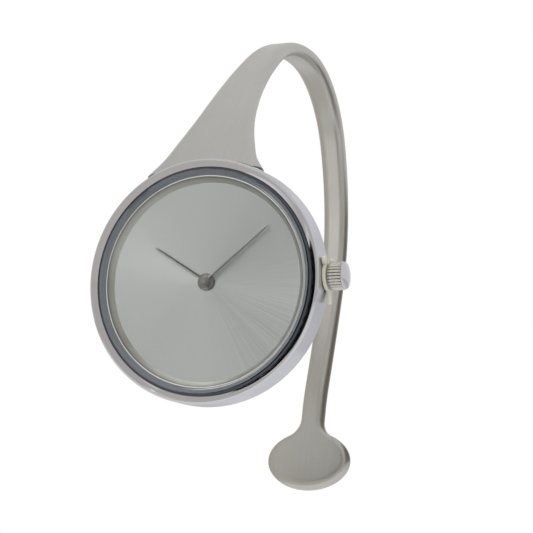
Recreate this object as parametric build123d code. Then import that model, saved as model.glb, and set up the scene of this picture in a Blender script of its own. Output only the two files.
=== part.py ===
from build123d import *
import math
import os

# Bangle watch: a thin round case, a needle-hand dial under a flat crystal, a quartz
# movement set by a fluted crown, and a rigid open bangle that springs from 12 o'clock,
# loops over the wrist and ends in an oval paddle.
#
# While it is modelled, X points to 3 o'clock, Z to 12 o'clock, and Y is the depth into
# the watch from the front of the bezel. The finished pieces move to the wrist's centre.

# Case, a one-piece bezel and middle
case_radius = 17.0
case_rear_inset = 1.1
case_wall = 2.25
case_wall_depth = 4.0
bezel_width = 1.15
bezel_edge_share = 0.95
bezel_lip_drop = 0.28
bezel_crest_share = 0.652

# Crystal, its gasket and the flange ring
crystal_thickness = 1.15
crystal_proud = 0.35
crystal_chamfer_width = 0.55
crystal_chamfer_drop = 0.3
gasket_wall = 0.35
gasket_foot = 0.15
gasket_foot_width = 0.55
gasket_top_drop = 0.12
flange_height = 0.95
flange_width = 0.9
flange_top_width = 0.25
part_gap = 0.05

# Dial
dial_edge_gap = 0.15
dial_thickness = 0.4
dial_hole_radius = 0.9
dial_foot_radius = 0.3
dial_foot_length = 1.0
dial_foot_inset = 0.8
dial_foot_angles = (100, 285)

# Movement plate, bridge and the train's space
plate_rim = 0.25
plate_thickness = 1.6
train_gap = 0.75
bridge_thickness = 0.35
lid_gap = 0.2
lid_thickness = 0.8
lid_inset = 0.2
lid_edge_round = 0.4
lid_rim_width = 0.8
lid_rim_height = 0.45
lid_gasket_width = 0.35
lid_gasket_height = 0.2
holder_height = 2.4

# Motion work behind the dial: wheels share one module
motion_module = 0.14
cannon_teeth = 10
minute_wheel_teeth = 30
minute_pinion_teeth = 8
hour_wheel_teeth = 32
setting_wheel_teeth = 16
clutch_teeth = 10
motion_pocket_depth = 0.44
motion_pocket_margin = 0.2
hour_wheel_depth = 0.08
minute_wheel_depth = 0.26
wheel_thickness = 0.1
setting_wheel_thickness = 0.14
running_clearance = 0.02
post_radius = 0.25

# Tooth shape as shares of the module, and half widths as shares of the pitch
tooth_tip_share = 0.8
tooth_root_share = 1.05
root_half_share = 0.31
tip_half_share = 0.1

# Arbors and pipes at the centre, from the inside out
centre_arbor_radius = 0.25
cannon_pipe_radius = 0.45
hour_pipe_radius = 0.72

# Going train: rotor, fifth, fourth, third and centre wheels
centre_module = 0.085
third_module = 0.08
fourth_module = 0.08
fifth_module = 0.07
centre_wheel_teeth = 64
third_wheel_teeth = 60
fourth_wheel_teeth = 40
fifth_wheel_teeth = 48
train_pinion_teeth = 8
third_bearing = 60
fourth_bearing = 135
fifth_bearing = 180
rotor_bearing = 200
pivot_radius = 0.1
arbor_radius = 0.16
pivot_length = 0.22
# The wheels' low, middle and high layers, as shares of the train's space
layer_shares = (0.1333, 0.3733, 0.6667)
train_wheel_thickness = 0.1
pinion_overhang = 0.03

# Step motor
rotor_magnet_radius = 0.75
rotor_magnet_height = 0.42
stator_hole_radius = 0.95
stator_thickness = 0.3
stator_arm_width = 1.2
stator_knee_drop = 1.7
stator_pocket_margin = 0.1
coil_centre_x = -1.5
coil_centre_z = 7.9
coil_end_gap = 0.1
coil_radius = 0.62
core_length = 7.4
core_width = 0.9
core_thickness = 0.3

# Electronics
board_thickness = 0.2
board_centre_gap = 0.61
board_inset = 0.4
board_start_angle = 30
board_end_angle = 92
quartz_radius = 0.75
quartz_length = 5.0
quartz_inset = 2.2
quartz_angle = 52
chip_size = 1.9
chip_height = 0.45
chip_inset = 2.0
chip_angle = 66
battery_radius = 3.4
battery_height = 2.15
battery_centre_gap = 0.26
battery_angle = 135
battery_step_width = 0.45
battery_step_height = 0.35
battery_pocket_clearance = 0.05
battery_floor = 0.2
insulator_thickness = 0.1
clamp_width = 1.5
clamp_thickness = 0.1
clamp_foot = 1.1
clamp_turn = 8.0

# Bridge pillars and screws, their places as shares of the plate's radius
pillar_radius = 0.7
pillar_place_shares = ((0.4455, 0.4257), (-0.6535, 0.4554), (-0.3564, 0.0594))
screw_head_radius = 0.5
screw_head_height = 0.18
screw_shank_radius = 0.28
screw_reach = 1.1

# Crown, tube, stem and clutch: one axis at 3 o'clock
crown_radius = 1.95
crown_face_gap = 0.62
crown_flute_length = 1.95
crown_cap_inset = 0.08
crown_cap_edge = 0.15
crown_dome_height = 0.4
crown_flutes = 26
crown_flute_radius = 0.17
crown_skirt_bore = 1.3
crown_cavity_length = 1.5
crown_recess_radius = 2.15
crown_recess_depth = 0.7
crown_push = 0.8
tube_radius = 0.85
tube_bore_radius = 0.52
tube_reach = 1.2
tube_inner_reach = 0.3
oring_length = 0.35
stem_radius = 0.45
stem_square = 0.6
stem_pilot_radius = 0.24
stem_pilot_length = 1.6
stem_square_length = 2.75
stem_collar_length = 0.1
stem_groove_radius = 0.28
stem_groove_length = 0.3
clutch_length = 1.25
clutch_tooth_height = 0.16
clutch_tooth_width = 0.32
# The clutch rests with a gap, not a tooth, towards the setting wheel
clutch_tooth_share = 0.5
clutch_waist_radius = 0.6
clutch_waist_length = 0.4
lever_pivot_drop = 1.75
lever_thickness = 0.2
lever_width = 0.5
lever_post_radius = 0.12
lever_pivot_radius = 0.2
lever_pivot_rim = 1.0

# Crown stop clip
clip_thickness = 0.45
clip_crown_gap = 0.14
clip_radius = 2.15
clip_ear_radius = 0.62
clip_ear_rise = 2.0
clip_ear_offset = 1.5
clip_tail_width = 0.95
clip_tail_length = 3.8
clip_throat_clearance = 0.03

# Hands
hour_hand_share = 0.773
hour_hand_width = 0.6
hour_hand_boss = 1.2
hour_hand_depth = 0.35
minute_hand_gap = 1.9
minute_hand_width = 0.42
minute_hand_boss = 0.75
minute_hand_depth = 0.78
hand_thickness = 0.16
boss_height = 0.22
hub_cap_radius = 0.42
hub_cap_height = 0.16
hour_hand_angle = -55.6
minute_hand_angle = 52.4
hand_tip_share = 0.22

# Bangle: arcs of the centreline as (share of its length, turn in degrees), from the case outwards
band_root_depth = 1.3
band_root_overlap = 2.1
band_root_heading = 55.6
band_length = 107.6
band_arc_shares = ((0.2844, 24.9), (0.1487, 38.8), (0.158, 65.7), (0.2184, 37.0), (0.1487, 3.5), (0.0418, -8.5))
band_thickness = 2.0
band_edge_round = 0.8
band_neck_width = 3.0
# Width along the centreline, as (share of the length, share of the neck's width)
band_width_shares = ((0.0, 5.74), (0.026, 4.62), (0.056, 3.86), (0.1, 3.0), (0.15, 2.42),
                     (0.21, 1.98), (0.285, 1.66), (0.36, 1.46), (0.44, 1.32), (0.53, 1.22),
                     (0.62, 1.15), (0.71, 1.1), (0.8, 1.06), (0.9, 1.02), (1.0, 1.0))
paddle_width = 12.8
paddle_height = 9.0
paddle_cant = -6
paddle_neck_length = 3.3
paddle_neck_round = 2.8
neck_fit_share = 0.4

# Radii of what nests in the case, from its outside inwards
case_rear_radius = case_radius - case_rear_inset
case_bore_radius = case_radius - case_wall
bezel_lip_radius = case_radius - bezel_width
bezel_crest_radius = bezel_lip_radius + bezel_width * bezel_crest_share
crystal_radius = bezel_lip_radius - gasket_wall
flange_dial_radius = case_bore_radius - part_gap - flange_width
dial_radius = case_bore_radius - dial_edge_gap
lid_radius = case_rear_radius - lid_inset
minute_hand_length = flange_dial_radius - minute_hand_gap
hour_hand_length = minute_hand_length * hour_hand_share
band_root_height = case_radius - band_root_overlap

# Depths of the stack, worked out from the pieces above
ledge_depth = crystal_thickness - crystal_proud + gasket_foot
dial_front = ledge_depth + flange_height
plate_front = dial_front + dial_thickness
plate_back = plate_front + plate_thickness
bridge_front = plate_back + train_gap
bridge_back = bridge_front + bridge_thickness
low_layer, mid_layer, high_layer = [train_gap * share for share in layer_shares]
battery_front = plate_front + battery_floor + insulator_thickness
clamp_back = battery_front + battery_height + clamp_thickness
lid_front = max(bridge_back, clamp_back) + lid_gap
lid_back = lid_front + lid_thickness
pocket_floor = plate_front + motion_pocket_depth
minute_wheel_front = plate_front + minute_wheel_depth
setting_wheel_middle = minute_wheel_front + wheel_thickness / 2
clutch_pitch_radius = motion_module * clutch_teeth / 2
stem_depth = setting_wheel_middle + clutch_pitch_radius
cannon_tip = dial_front - minute_hand_depth
centre_arbor_tip = dial_front - minute_hand_depth / 2
hour_pipe_tip = dial_front - hour_hand_depth - boss_height / 2
rotor_floor = plate_back - rotor_magnet_height - part_gap
core_reach = core_length / 2 - core_width / 2
coil_length = 2 * (core_reach - stator_arm_width / 2 - coil_end_gap)

# Places along the stem's axis
minute_wheel_x = motion_module * (cannon_teeth + minute_wheel_teeth) / 2
setting_wheel_x = minute_wheel_x + motion_module * (minute_wheel_teeth + setting_wheel_teeth) / 2
setting_wheel_tip = motion_module * (setting_wheel_teeth / 2 + tooth_tip_share)
clutch_start = setting_wheel_x + setting_wheel_tip + running_clearance - clutch_tooth_height
clutch_end = clutch_start + clutch_length
crown_face = case_radius + crown_face_gap
crown_floor = case_radius - crown_recess_depth
clip_outer_face = crown_face - clip_crown_gap
stem_groove_x = clutch_end + crown_push + stem_collar_length + running_clearance
stem_square_x = stem_groove_x - stem_collar_length - stem_square_length
lever_pivot_x = stem_groove_x + stem_groove_length / 2 - crown_push / 2

# Radii on the plate, from the centre wheel outwards
centre_wheel_tip = centre_module * (centre_wheel_teeth / 2 + tooth_tip_share)
battery_circle = centre_wheel_tip + battery_centre_gap + battery_radius
plate_radius = max(battery_circle + battery_radius + plate_rim, lever_pivot_x + lever_pivot_rim)
dial_foot_circle = plate_radius - dial_foot_inset
board_inner_radius = centre_wheel_tip + board_centre_gap
board_outer_radius = plate_radius - board_inset
quartz_circle = plate_radius - quartz_inset
chip_circle = board_inner_radius + chip_inset


def at_depth(depth, x=0.0, z=0.0):
    """A plane that faces into the watch, its own Y pointing to 6 o'clock."""
    return Plane(origin=(x, depth, z), x_dir=(1, 0, 0), z_dir=(0, 1, 0))


def across_stem(x):
    """A plane square to the stem, looking outwards at 3 o'clock."""
    return Plane(origin=(x, stem_depth, 0), x_dir=(0, 1, 0), z_dir=(1, 0, 0))


def on_circle(radius, angle):
    """A place on the plate, as (x, z), by its angle clockwise from 3 o'clock."""
    turn = math.radians(angle)
    return radius * math.cos(turn), -radius * math.sin(turn)


def disc(radius, front, back, x=0.0, z=0.0):
    return extrude(at_depth(front, x, z) * Circle(radius), amount=back - front)


def ring(outer, inner, front, back, x=0.0, z=0.0):
    return extrude(at_depth(front, x, z) * (Circle(outer) - Circle(inner)), amount=back - front)


def profile(points, rounds=()):
    """A closed outline, with each (corner, radius) in rounds made into an arc."""
    face = make_face(Polyline(*points, close=True))
    for corner, radius in rounds:
        face = fillet(face.vertices().sort_by_distance(corner)[0], radius)
    return face


def turned(points, rounds=()):
    """A piece turned about the dial's axis, from (radius, depth) points."""
    return revolve(profile(points, rounds), Axis.Y)


def turned_on_stem(points):
    """A piece turned about the stem's axis, from (x, radius) points."""
    face = make_face(Polyline(*[(x, stem_depth + r) for x, r in points], close=True))
    return revolve(face, Axis((0, stem_depth, 0), (1, 0, 0)))


def gear_outline(teeth, module, tooth_angle):
    """A toothed outline with one tooth pointing at tooth_angle."""
    pitch_radius = module * teeth / 2
    tip = pitch_radius + module * tooth_tip_share
    root = pitch_radius - module * tooth_root_share
    step = 360 / teeth
    points = []
    for tooth in range(teeth):
        middle = tooth_angle + tooth * step
        for radius, share in ((root, -root_half_share), (tip, -tip_half_share),
                              (tip, tip_half_share), (root, root_half_share)):
            turn = math.radians(middle + share * step)
            points.append((radius * math.cos(turn), radius * math.sin(turn)))
    return make_face(Polyline(*points, close=True))


def gear(teeth, module, front, thickness, place, tooth_angle, bore=0.0):
    """A spur wheel lying parallel to the dial."""
    outline = gear_outline(teeth, module, tooth_angle)
    if bore:
        outline = outline - Circle(bore)
    return extrude(at_depth(front, *place) * outline, amount=thickness)


def meshing_angle(teeth, direction):
    """The tooth angle that puts a gap towards direction."""
    return direction + 180 / teeth


# Case and glass


def case_body():
    """Bezel and middle in one: a turned ring with the crystal seat and the crown's recess."""
    body = turned(
        [(case_bore_radius, ledge_depth), (bezel_lip_radius, ledge_depth),
         (bezel_lip_radius, bezel_lip_drop), (bezel_crest_radius, 0), (case_radius, 0),
         (case_radius, case_wall_depth), (case_rear_radius, lid_front),
         (case_bore_radius, lid_front)],
        [((case_radius, 0), (case_radius - bezel_crest_radius) * bezel_edge_share)])
    body -= extrude(across_stem(crown_floor) * Circle(crown_recess_radius), amount=case_radius)
    body -= extrude(across_stem(0) * Circle(tube_radius), amount=case_radius)
    return body


def crystal():
    """Flat mineral glass standing just proud of the bezel, with a ground edge."""
    front = -crystal_proud
    back = front + crystal_thickness
    return turned([(0, front), (crystal_radius - crystal_chamfer_width, front),
                   (crystal_radius, front + crystal_chamfer_drop), (crystal_radius, back), (0, back)])


def crystal_gasket():
    """L-section ring that wraps the crystal's edge and lies under its rim."""
    glass_back = crystal_thickness - crystal_proud
    return turned([(crystal_radius, gasket_top_drop + bezel_lip_drop),
                   (bezel_lip_radius, gasket_top_drop + bezel_lip_drop),
                   (bezel_lip_radius, ledge_depth), (crystal_radius - gasket_foot_width, ledge_depth),
                   (crystal_radius - gasket_foot_width, glass_back), (crystal_radius, glass_back)])


def flange_ring():
    """Sloping polished ring between the crystal's seat and the dial."""
    outer = case_bore_radius - part_gap
    return turned([(outer, ledge_depth), (outer, dial_front), (flange_dial_radius, dial_front),
                   (outer - flange_top_width, ledge_depth)])


def case_back():
    """Snap-on back: a flat disc with a rim that enters the case, grooved for its gasket."""
    rim_outer = case_bore_radius - running_clearance
    rim_inner = rim_outer - lid_rim_width
    rim_front = lid_front - lid_rim_height
    groove_front = rim_front + (lid_rim_height - lid_gasket_height) / 2
    return turned(
        [(0, lid_front), (rim_inner, lid_front), (rim_inner, rim_front), (rim_outer, rim_front),
         (rim_outer, groove_front), (rim_outer - lid_gasket_width, groove_front),
         (rim_outer - lid_gasket_width, groove_front + lid_gasket_height),
         (rim_outer, groove_front + lid_gasket_height), (rim_outer, lid_front),
         (lid_radius, lid_front), (lid_radius, lid_back), (0, lid_back)],
        [((lid_radius, lid_back), lid_edge_round)])


def case_back_gasket():
    rim_outer = case_bore_radius - running_clearance
    groove_front = lid_front - lid_rim_height + (lid_rim_height - lid_gasket_height) / 2
    return ring(case_bore_radius, rim_outer - lid_gasket_width, groove_front,
                groove_front + lid_gasket_height)


# Dial and hands


def dial():
    """Plain sunray disc with a centre hole and two feet for the plate."""
    plate = ring(dial_radius, dial_hole_radius, dial_front, plate_front)
    for angle in dial_foot_angles:
        place = on_circle(dial_foot_circle, angle)
        plate += disc(dial_foot_radius, plate_front, plate_front + dial_foot_length, *place)
    return plate


def needle(length, width, boss, front, angle, bore):
    """A slim hand with a ridge along its middle, on a round boss with a hole."""
    root = math.sqrt(boss ** 2 - (width / 2) ** 2)
    back = front + hand_thickness
    tip_height = hand_thickness * hand_tip_share
    sections = []
    for reach, half, rise in ((0, width / 2, hand_thickness), (length, width * hand_tip_share / 2, tip_height)):
        plane = Plane(origin=(0, back, 0), x_dir=(0, 0, 1), z_dir=(1, 0, 0)).offset(reach)
        outline = Polyline((-half, 0), (half, 0), (half, tip_height), (0, rise), (-half, tip_height),
                           close=True)
        sections.append(plane * make_face(outline))
    blade = loft(sections)
    blade = Rot(0, angle - 90, 0) * blade
    hub = disc(boss, back - boss_height / 2, back + boss_height / 2)
    hub = chamfer(hub.edges(), boss_height * hand_tip_share)
    return blade + hub - disc(bore, front - boss_height, back + boss_height)


def hour_hand():
    front = dial_front - hour_hand_depth - hand_thickness
    return needle(hour_hand_length, hour_hand_width, hour_hand_boss, front, hour_hand_angle,
                  hour_pipe_radius)


def minute_hand():
    front = dial_front - minute_hand_depth - hand_thickness
    hand = needle(minute_hand_length, minute_hand_width, minute_hand_boss, front, minute_hand_angle,
                  cannon_pipe_radius)
    back = front + hand_thickness
    cap_front = back - boss_height / 2 - hub_cap_height
    cap = disc(hub_cap_radius, cap_front, back - boss_height / 2)
    cap = chamfer(cap.faces().sort_by(Axis.Y)[0].edges(), hub_cap_height * hand_tip_share)
    seat = disc(cannon_pipe_radius, back - boss_height / 2, cannon_tip)
    return hand + cap + seat


# Motion work


def cannon_pinion():
    """Pinion and pipe on the centre arbor; it carries the minute hand."""
    back = pocket_floor - running_clearance
    leaves = gear(cannon_teeth, motion_module, minute_wheel_front - running_clearance,
                  back - minute_wheel_front + running_clearance, (0, 0), 0)
    pipe = disc(cannon_pipe_radius, cannon_tip, back)
    return leaves + pipe - disc(centre_arbor_radius + running_clearance, centre_arbor_tip, back)


def hour_wheel():
    """Wheel and pipe that turn on the cannon pinion's pipe; it carries the hour hand."""
    front = plate_front + hour_wheel_depth
    wheel = gear(hour_wheel_teeth, motion_module, front, wheel_thickness, (0, 0), 0)
    pipe = disc(hour_pipe_radius, hour_pipe_tip, front + wheel_thickness)
    return wheel + pipe - disc(cannon_pipe_radius + running_clearance, 0, plate_back)


def minute_wheel():
    """Wheel driven by the cannon pinion, with the pinion that drives the hour wheel."""
    place = (minute_wheel_x, 0)
    bore = post_radius + running_clearance
    wheel = gear(minute_wheel_teeth, motion_module, minute_wheel_front, wheel_thickness, place,
                 meshing_angle(minute_wheel_teeth, 180), bore)
    front = plate_front + running_clearance
    pinion = gear(minute_pinion_teeth, motion_module, front, minute_wheel_front - front, place,
                  meshing_angle(minute_pinion_teeth, 180), bore)
    return wheel + pinion


def setting_wheel():
    """Idler between the clutch on the stem and the minute wheel."""
    front = setting_wheel_middle - setting_wheel_thickness / 2
    return gear(setting_wheel_teeth, motion_module, front, setting_wheel_thickness,
                (setting_wheel_x, 0), 180, post_radius + running_clearance)


def sliding_pinion():
    """Clutch on the stem's square: face teeth towards the setting wheel, and a waist."""
    outer = clutch_pitch_radius + clutch_tooth_width / 2
    inner = clutch_pitch_radius - clutch_tooth_width / 2
    crown_end = clutch_start + clutch_tooth_height
    waist_start = clutch_end - 2 * clutch_waist_length
    body = turned_on_stem([(crown_end, 0), (crown_end, outer), (waist_start, outer),
                           (waist_start, clutch_waist_radius),
                           (waist_start + clutch_waist_length, clutch_waist_radius),
                           (waist_start + clutch_waist_length, outer), (clutch_end, outer),
                           (clutch_end, 0)])
    step = 360 / clutch_teeth
    tooth = Pos(clutch_pitch_radius, 0) * Rectangle(clutch_tooth_width, motion_module)
    teeth = [Rot(0, 0, (turn + clutch_tooth_share) * step) * tooth for turn in range(clutch_teeth)]
    comb = Part() + [extrude(across_stem(clutch_start) * t, amount=clutch_tooth_height) for t in teeth]
    hole = Rectangle(stem_square + 2 * running_clearance, stem_square + 2 * running_clearance)
    bore = extrude(across_stem(clutch_start) * hole, amount=clutch_length)
    return body + comb - bore


# Going train


def step_to(place, distance, bearing):
    """A place at a distance from another, its bearing anticlockwise from 3 o'clock."""
    turn = math.radians(bearing)
    return place[0] + distance * math.cos(turn), place[1] + distance * math.sin(turn)


third_place = step_to((0, 0), centre_module * (centre_wheel_teeth + train_pinion_teeth) / 2, third_bearing)
fourth_place = step_to(third_place, third_module * (third_wheel_teeth + train_pinion_teeth) / 2,
                       fourth_bearing)
fifth_place = step_to(fourth_place, fourth_module * (fourth_wheel_teeth + train_pinion_teeth) / 2,
                      fifth_bearing)
rotor_place = step_to(fifth_place, fifth_module * (fifth_wheel_teeth + train_pinion_teeth) / 2,
                      rotor_bearing)
train_places = (third_place, fourth_place, fifth_place, rotor_place)


def arbor(place):
    """A staff between the plate and the bridge, with a pivot in each."""
    body = disc(arbor_radius, plate_back + running_clearance, bridge_front - running_clearance, *place)
    return body + disc(pivot_radius, plate_back - pivot_length, bridge_front + pivot_length, *place)


def train_wheel(place, teeth, module, layer, tooth_angle, pinion_module, pinion_layer, pinion_angle):
    """A wheel and its pinion on one arbor."""
    wheel = gear(teeth, module, plate_back + layer, train_wheel_thickness, place, tooth_angle)
    front = plate_back + pinion_layer - pinion_overhang
    pinion = gear(train_pinion_teeth, pinion_module, front, train_wheel_thickness + 2 * pinion_overhang,
                  place, pinion_angle)
    return arbor(place) + wheel + pinion


def centre_wheel():
    """Wheel whose long arbor carries the cannon pinion through the plate."""
    wheel = gear(centre_wheel_teeth, centre_module, plate_back + low_layer, train_wheel_thickness,
                 (0, 0), -third_bearing)
    staff = disc(centre_arbor_radius, centre_arbor_tip + running_clearance, bridge_front - running_clearance)
    return wheel + staff + disc(pivot_radius, plate_back, bridge_front + pivot_length)


def third_wheel():
    return train_wheel(third_place, third_wheel_teeth, third_module, high_layer, -fourth_bearing,
                       centre_module, low_layer, meshing_angle(train_pinion_teeth, 180 - third_bearing))


def fourth_wheel():
    return train_wheel(fourth_place, fourth_wheel_teeth, fourth_module, mid_layer, -fifth_bearing,
                       third_module, high_layer, meshing_angle(train_pinion_teeth, 180 - fourth_bearing))


def fifth_wheel():
    return train_wheel(fifth_place, fifth_wheel_teeth, fifth_module, low_layer, -rotor_bearing,
                       fourth_module, mid_layer, meshing_angle(train_pinion_teeth, 180 - fifth_bearing))


def rotor():
    """Step motor rotor: a round magnet in the stator's hole, with its pinion above."""
    magnet = disc(rotor_magnet_radius, rotor_floor + running_clearance, rotor_floor + rotor_magnet_height,
                  *rotor_place)
    staff = disc(arbor_radius, rotor_floor + running_clearance, bridge_front - running_clearance, *rotor_place)
    pivots = disc(pivot_radius, rotor_floor - pivot_length, bridge_front + pivot_length, *rotor_place)
    front = plate_back + low_layer - pinion_overhang
    pinion = gear(train_pinion_teeth, fifth_module, front, train_wheel_thickness + 2 * pinion_overhang,
                  rotor_place, meshing_angle(train_pinion_teeth, 180 - rotor_bearing))
    return magnet + staff + pivots + pinion


# Plate, bridge and holder


pillar_places = [(plate_radius * x, plate_radius * z) for x, z in pillar_place_shares]


def bars(width, *points):
    """Round-ended bars through the given (x, z) places, as one sketch in the plate's plane."""
    outline = Sketch()
    for start, end in zip(points, points[1:]):
        run = math.hypot(end[0] - start[0], end[1] - start[1])
        turn = math.degrees(math.atan2(start[1] - end[1], end[0] - start[0]))
        middle = ((start[0] + end[0]) / 2, -(start[1] + end[1]) / 2)
        outline += Pos(*middle) * Rot(0, 0, turn) * SlotCenterToCenter(run, width)
    return outline


def stator_outline(width):
    """The stator's two arms, from the rotor to the ends of the coil's core."""
    left_end = (coil_centre_x - core_reach, coil_centre_z)
    right_end = (coil_centre_x + core_reach, coil_centre_z)
    knee = (rotor_place[0] + stator_arm_width, coil_centre_z - stator_knee_drop)
    corner = (right_end[0], knee[1])
    eye = Pos(rotor_place[0], -rotor_place[1]) * Circle(stator_hole_radius + width / 2)
    return bars(width, left_end, rotor_place, knee, corner, right_end) + eye


def main_plate():
    """Brass plate: motion work pocket in front, train bearings, motor and battery pockets behind."""
    plate = disc(plate_radius, plate_front, plate_back)
    hour_reach = motion_module * (hour_wheel_teeth / 2 + 1) + motion_pocket_margin
    minute_reach = motion_module * (minute_wheel_teeth / 2 + 1) + motion_pocket_margin
    setting_reach = motion_module * (setting_wheel_teeth / 2 + 1) + motion_pocket_margin
    for radius, x in ((hour_reach, 0), (minute_reach, minute_wheel_x), (setting_reach, setting_wheel_x)):
        plate -= disc(radius, plate_front, pocket_floor, x)
    for x in (minute_wheel_x, setting_wheel_x):
        plate += disc(post_radius, plate_front + part_gap, pocket_floor, x)
    for angle in dial_foot_angles:
        place = on_circle(dial_foot_circle, angle)
        plate -= disc(dial_foot_radius + part_gap, plate_front, plate_front + dial_foot_length + part_gap,
                      *place)
    plate -= disc(centre_arbor_radius + running_clearance, plate_front, plate_back)
    for place in (third_place, fourth_place, fifth_place):
        plate -= disc(pivot_radius + running_clearance, plate_back - pivot_length - part_gap, plate_back,
                      *place)
    plate -= disc(pivot_radius + running_clearance, rotor_floor - pivot_length - part_gap, plate_back,
                  *rotor_place)
    plate -= disc(stator_hole_radius, rotor_floor, plate_back, *rotor_place)
    plate -= stator_pocket()
    plate -= battery_pocket()
    plate -= quartz_pocket()
    plate -= stem_way()
    for x, z in pillar_places:
        plate -= disc(screw_shank_radius, bridge_back - screw_head_height - screw_reach, plate_back, x, z)
    return plate


def stator_pocket():
    """Room in the plate for the stator and the coil."""
    floor = plate_back - stator_thickness - part_gap
    arms = stator_outline(stator_arm_width + 2 * stator_pocket_margin)
    room = extrude(at_depth(floor) * arms, amount=plate_back - floor)
    coil_floor = plate_back + core_thickness / 2 - coil_radius - part_gap
    coil_room = Rectangle(coil_length + 2 * stator_pocket_margin, 2 * (coil_radius + stator_pocket_margin))
    coil_plane = at_depth(coil_floor, coil_centre_x, coil_centre_z)
    return room + extrude(coil_plane * coil_room, amount=plate_back - coil_floor)


battery_place = on_circle(battery_circle, battery_angle)


def battery_pocket():
    return disc(battery_radius + battery_pocket_clearance, battery_front - insulator_thickness, plate_back,
                *battery_place)


def quartz_solid(extra):
    """The resonator's can, lying along the plate's edge, grown by extra."""
    x, z = on_circle(quartz_circle, quartz_angle)
    turn = math.radians(quartz_angle)
    along = (math.sin(turn), 0, math.cos(turn))
    length = quartz_length + 2 * extra
    depth = plate_back + board_thickness
    plane = Plane(origin=(x - along[0] * length / 2, depth, z - along[2] * length / 2), z_dir=along,
                  x_dir=(0, 1, 0))
    return extrude(plane * Circle(quartz_radius + extra), amount=length)


def quartz_pocket():
    return quartz_solid(part_gap)


def stem_way():
    """The stem's bearing and pilot hole, with open slots for the clutch and the lever's post."""
    pilot = turned_on_stem([(stem_square_x - crown_push - stem_pilot_length - part_gap, 0),
                            (stem_square_x - crown_push - stem_pilot_length - part_gap,
                             stem_pilot_radius + running_clearance),
                            (plate_radius, stem_pilot_radius + running_clearance), (plate_radius, 0)])
    bearing = turned_on_stem([(stem_square_x - crown_push - part_gap, 0),
                              (stem_square_x - crown_push - part_gap, stem_radius + running_clearance),
                              (plate_radius + part_gap, stem_radius + running_clearance),
                              (plate_radius + part_gap, 0)])
    clutch_room = clutch_pitch_radius + clutch_tooth_width / 2 + part_gap
    slot = turned_on_stem([(clutch_start - part_gap, 0), (clutch_start - part_gap, clutch_room),
                           (clutch_end + part_gap, clutch_room), (clutch_end + part_gap, 0)])
    clutch_slot = Pos((clutch_start + clutch_end) / 2, 0) * Rectangle(clutch_length + 2 * part_gap,
                                                                     2 * clutch_room)
    slot += extrude(at_depth(stem_depth) * clutch_slot, amount=plate_back - stem_depth)
    slot += extrude(at_depth(setting_wheel_middle) * clutch_slot, amount=stem_depth - setting_wheel_middle)
    lever_slot = Pos(lever_pivot_x, 0) * SlotCenterToCenter(crown_push, 2 * lever_post_radius + 2 * part_gap
                                                           + stem_square / 2)
    slot += extrude(at_depth(stem_depth) * lever_slot, amount=plate_back - stem_depth)
    pivot = disc(lever_pivot_radius + running_clearance, plate_back - pivot_length - part_gap, plate_back,
                 lever_pivot_x, lever_pivot_drop)
    return pilot + bearing + slot + pivot


def train_bridge():
    """Bridge over the train: arms from pivot to pivot on three pillars."""
    path = (pillar_places[0], third_place, fourth_place, fifth_place, rotor_place, pillar_places[1])
    outline = bars(2 * pillar_radius, *path)
    outline += bars(2 * pillar_radius, third_place, (0, 0), pillar_places[2])
    bridge = extrude(at_depth(bridge_front) * outline, amount=bridge_thickness)
    for x, z in pillar_places:
        bridge += disc(pillar_radius, plate_back, bridge_back, x, z)
        bridge -= disc(screw_shank_radius, plate_back, bridge_back, x, z)
        bridge -= disc(screw_head_radius, bridge_back - screw_head_height, bridge_back, x, z)
    for place in train_places + ((0, 0),):
        bridge -= disc(pivot_radius + running_clearance, bridge_front, bridge_back, *place)
    return bridge


def bridge_screws():
    """The bridge's three screws."""
    screws = []
    for x, z in pillar_places:
        head_front = bridge_back - screw_head_height
        screw = disc(screw_head_radius, head_front, bridge_back, x, z)
        screws.append(screw + disc(screw_shank_radius, head_front - screw_reach, head_front, x, z))
    return Compound(children=screws)


def movement_holder():
    """Plastic ring that centres the movement in the case."""
    holder = ring(case_bore_radius - part_gap, plate_radius + part_gap, plate_front,
                  plate_front + holder_height)
    opening = Rectangle(2 * (stem_radius + part_gap), 2 * (stem_radius + part_gap))
    holder -= extrude(across_stem(0) * opening, amount=case_radius)
    tube_room = extrude(across_stem(case_bore_radius - tube_inner_reach - part_gap)
                        * Circle(tube_radius + part_gap), amount=case_radius)
    return holder - tube_room


# Motor and electronics


def stator():
    """Soft iron plate whose two arms lead from the coil to the rotor's hole."""
    outline = stator_outline(stator_arm_width)
    outline -= Pos(rotor_place[0], -rotor_place[1]) * Circle(stator_hole_radius - part_gap)
    front = plate_back - stator_thickness
    return extrude(at_depth(front) * outline, amount=stator_thickness)


def coil_core():
    """Core bar with its ends lying on the stator's arms."""
    bar = Pos(coil_centre_x, -coil_centre_z) * RectangleRounded(core_length, core_width, core_width / 4)
    return extrude(at_depth(plate_back) * bar, amount=core_thickness)


def coil():
    """Winding on the core, rounded like the real wound coil."""
    plane = Plane(origin=(coil_centre_x - coil_length / 2, plate_back + core_thickness / 2, coil_centre_z),
                  x_dir=(0, 1, 0), z_dir=(1, 0, 0))
    outer = Circle(coil_radius)
    hole = Rectangle(core_thickness, core_width)
    return extrude(plane * (outer - hole), amount=coil_length)


def circuit_board():
    """Curved board below the stem, cut out for the resonator."""
    blank = Circle(board_outer_radius) - Circle(board_inner_radius)
    reach = 2 * board_outer_radius
    turns = [math.radians(turn) for turn in (board_start_angle, (board_start_angle + board_end_angle) / 2,
                                             board_end_angle)]
    corners = [(reach * math.cos(turn), reach * math.sin(turn)) for turn in turns]
    wedge = make_face(Polyline((0, 0), *corners, close=True))
    board = extrude(at_depth(plate_back) * (blank & wedge), amount=board_thickness)
    return board - quartz_solid(part_gap)


def quartz_can():
    return quartz_solid(0)


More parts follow.
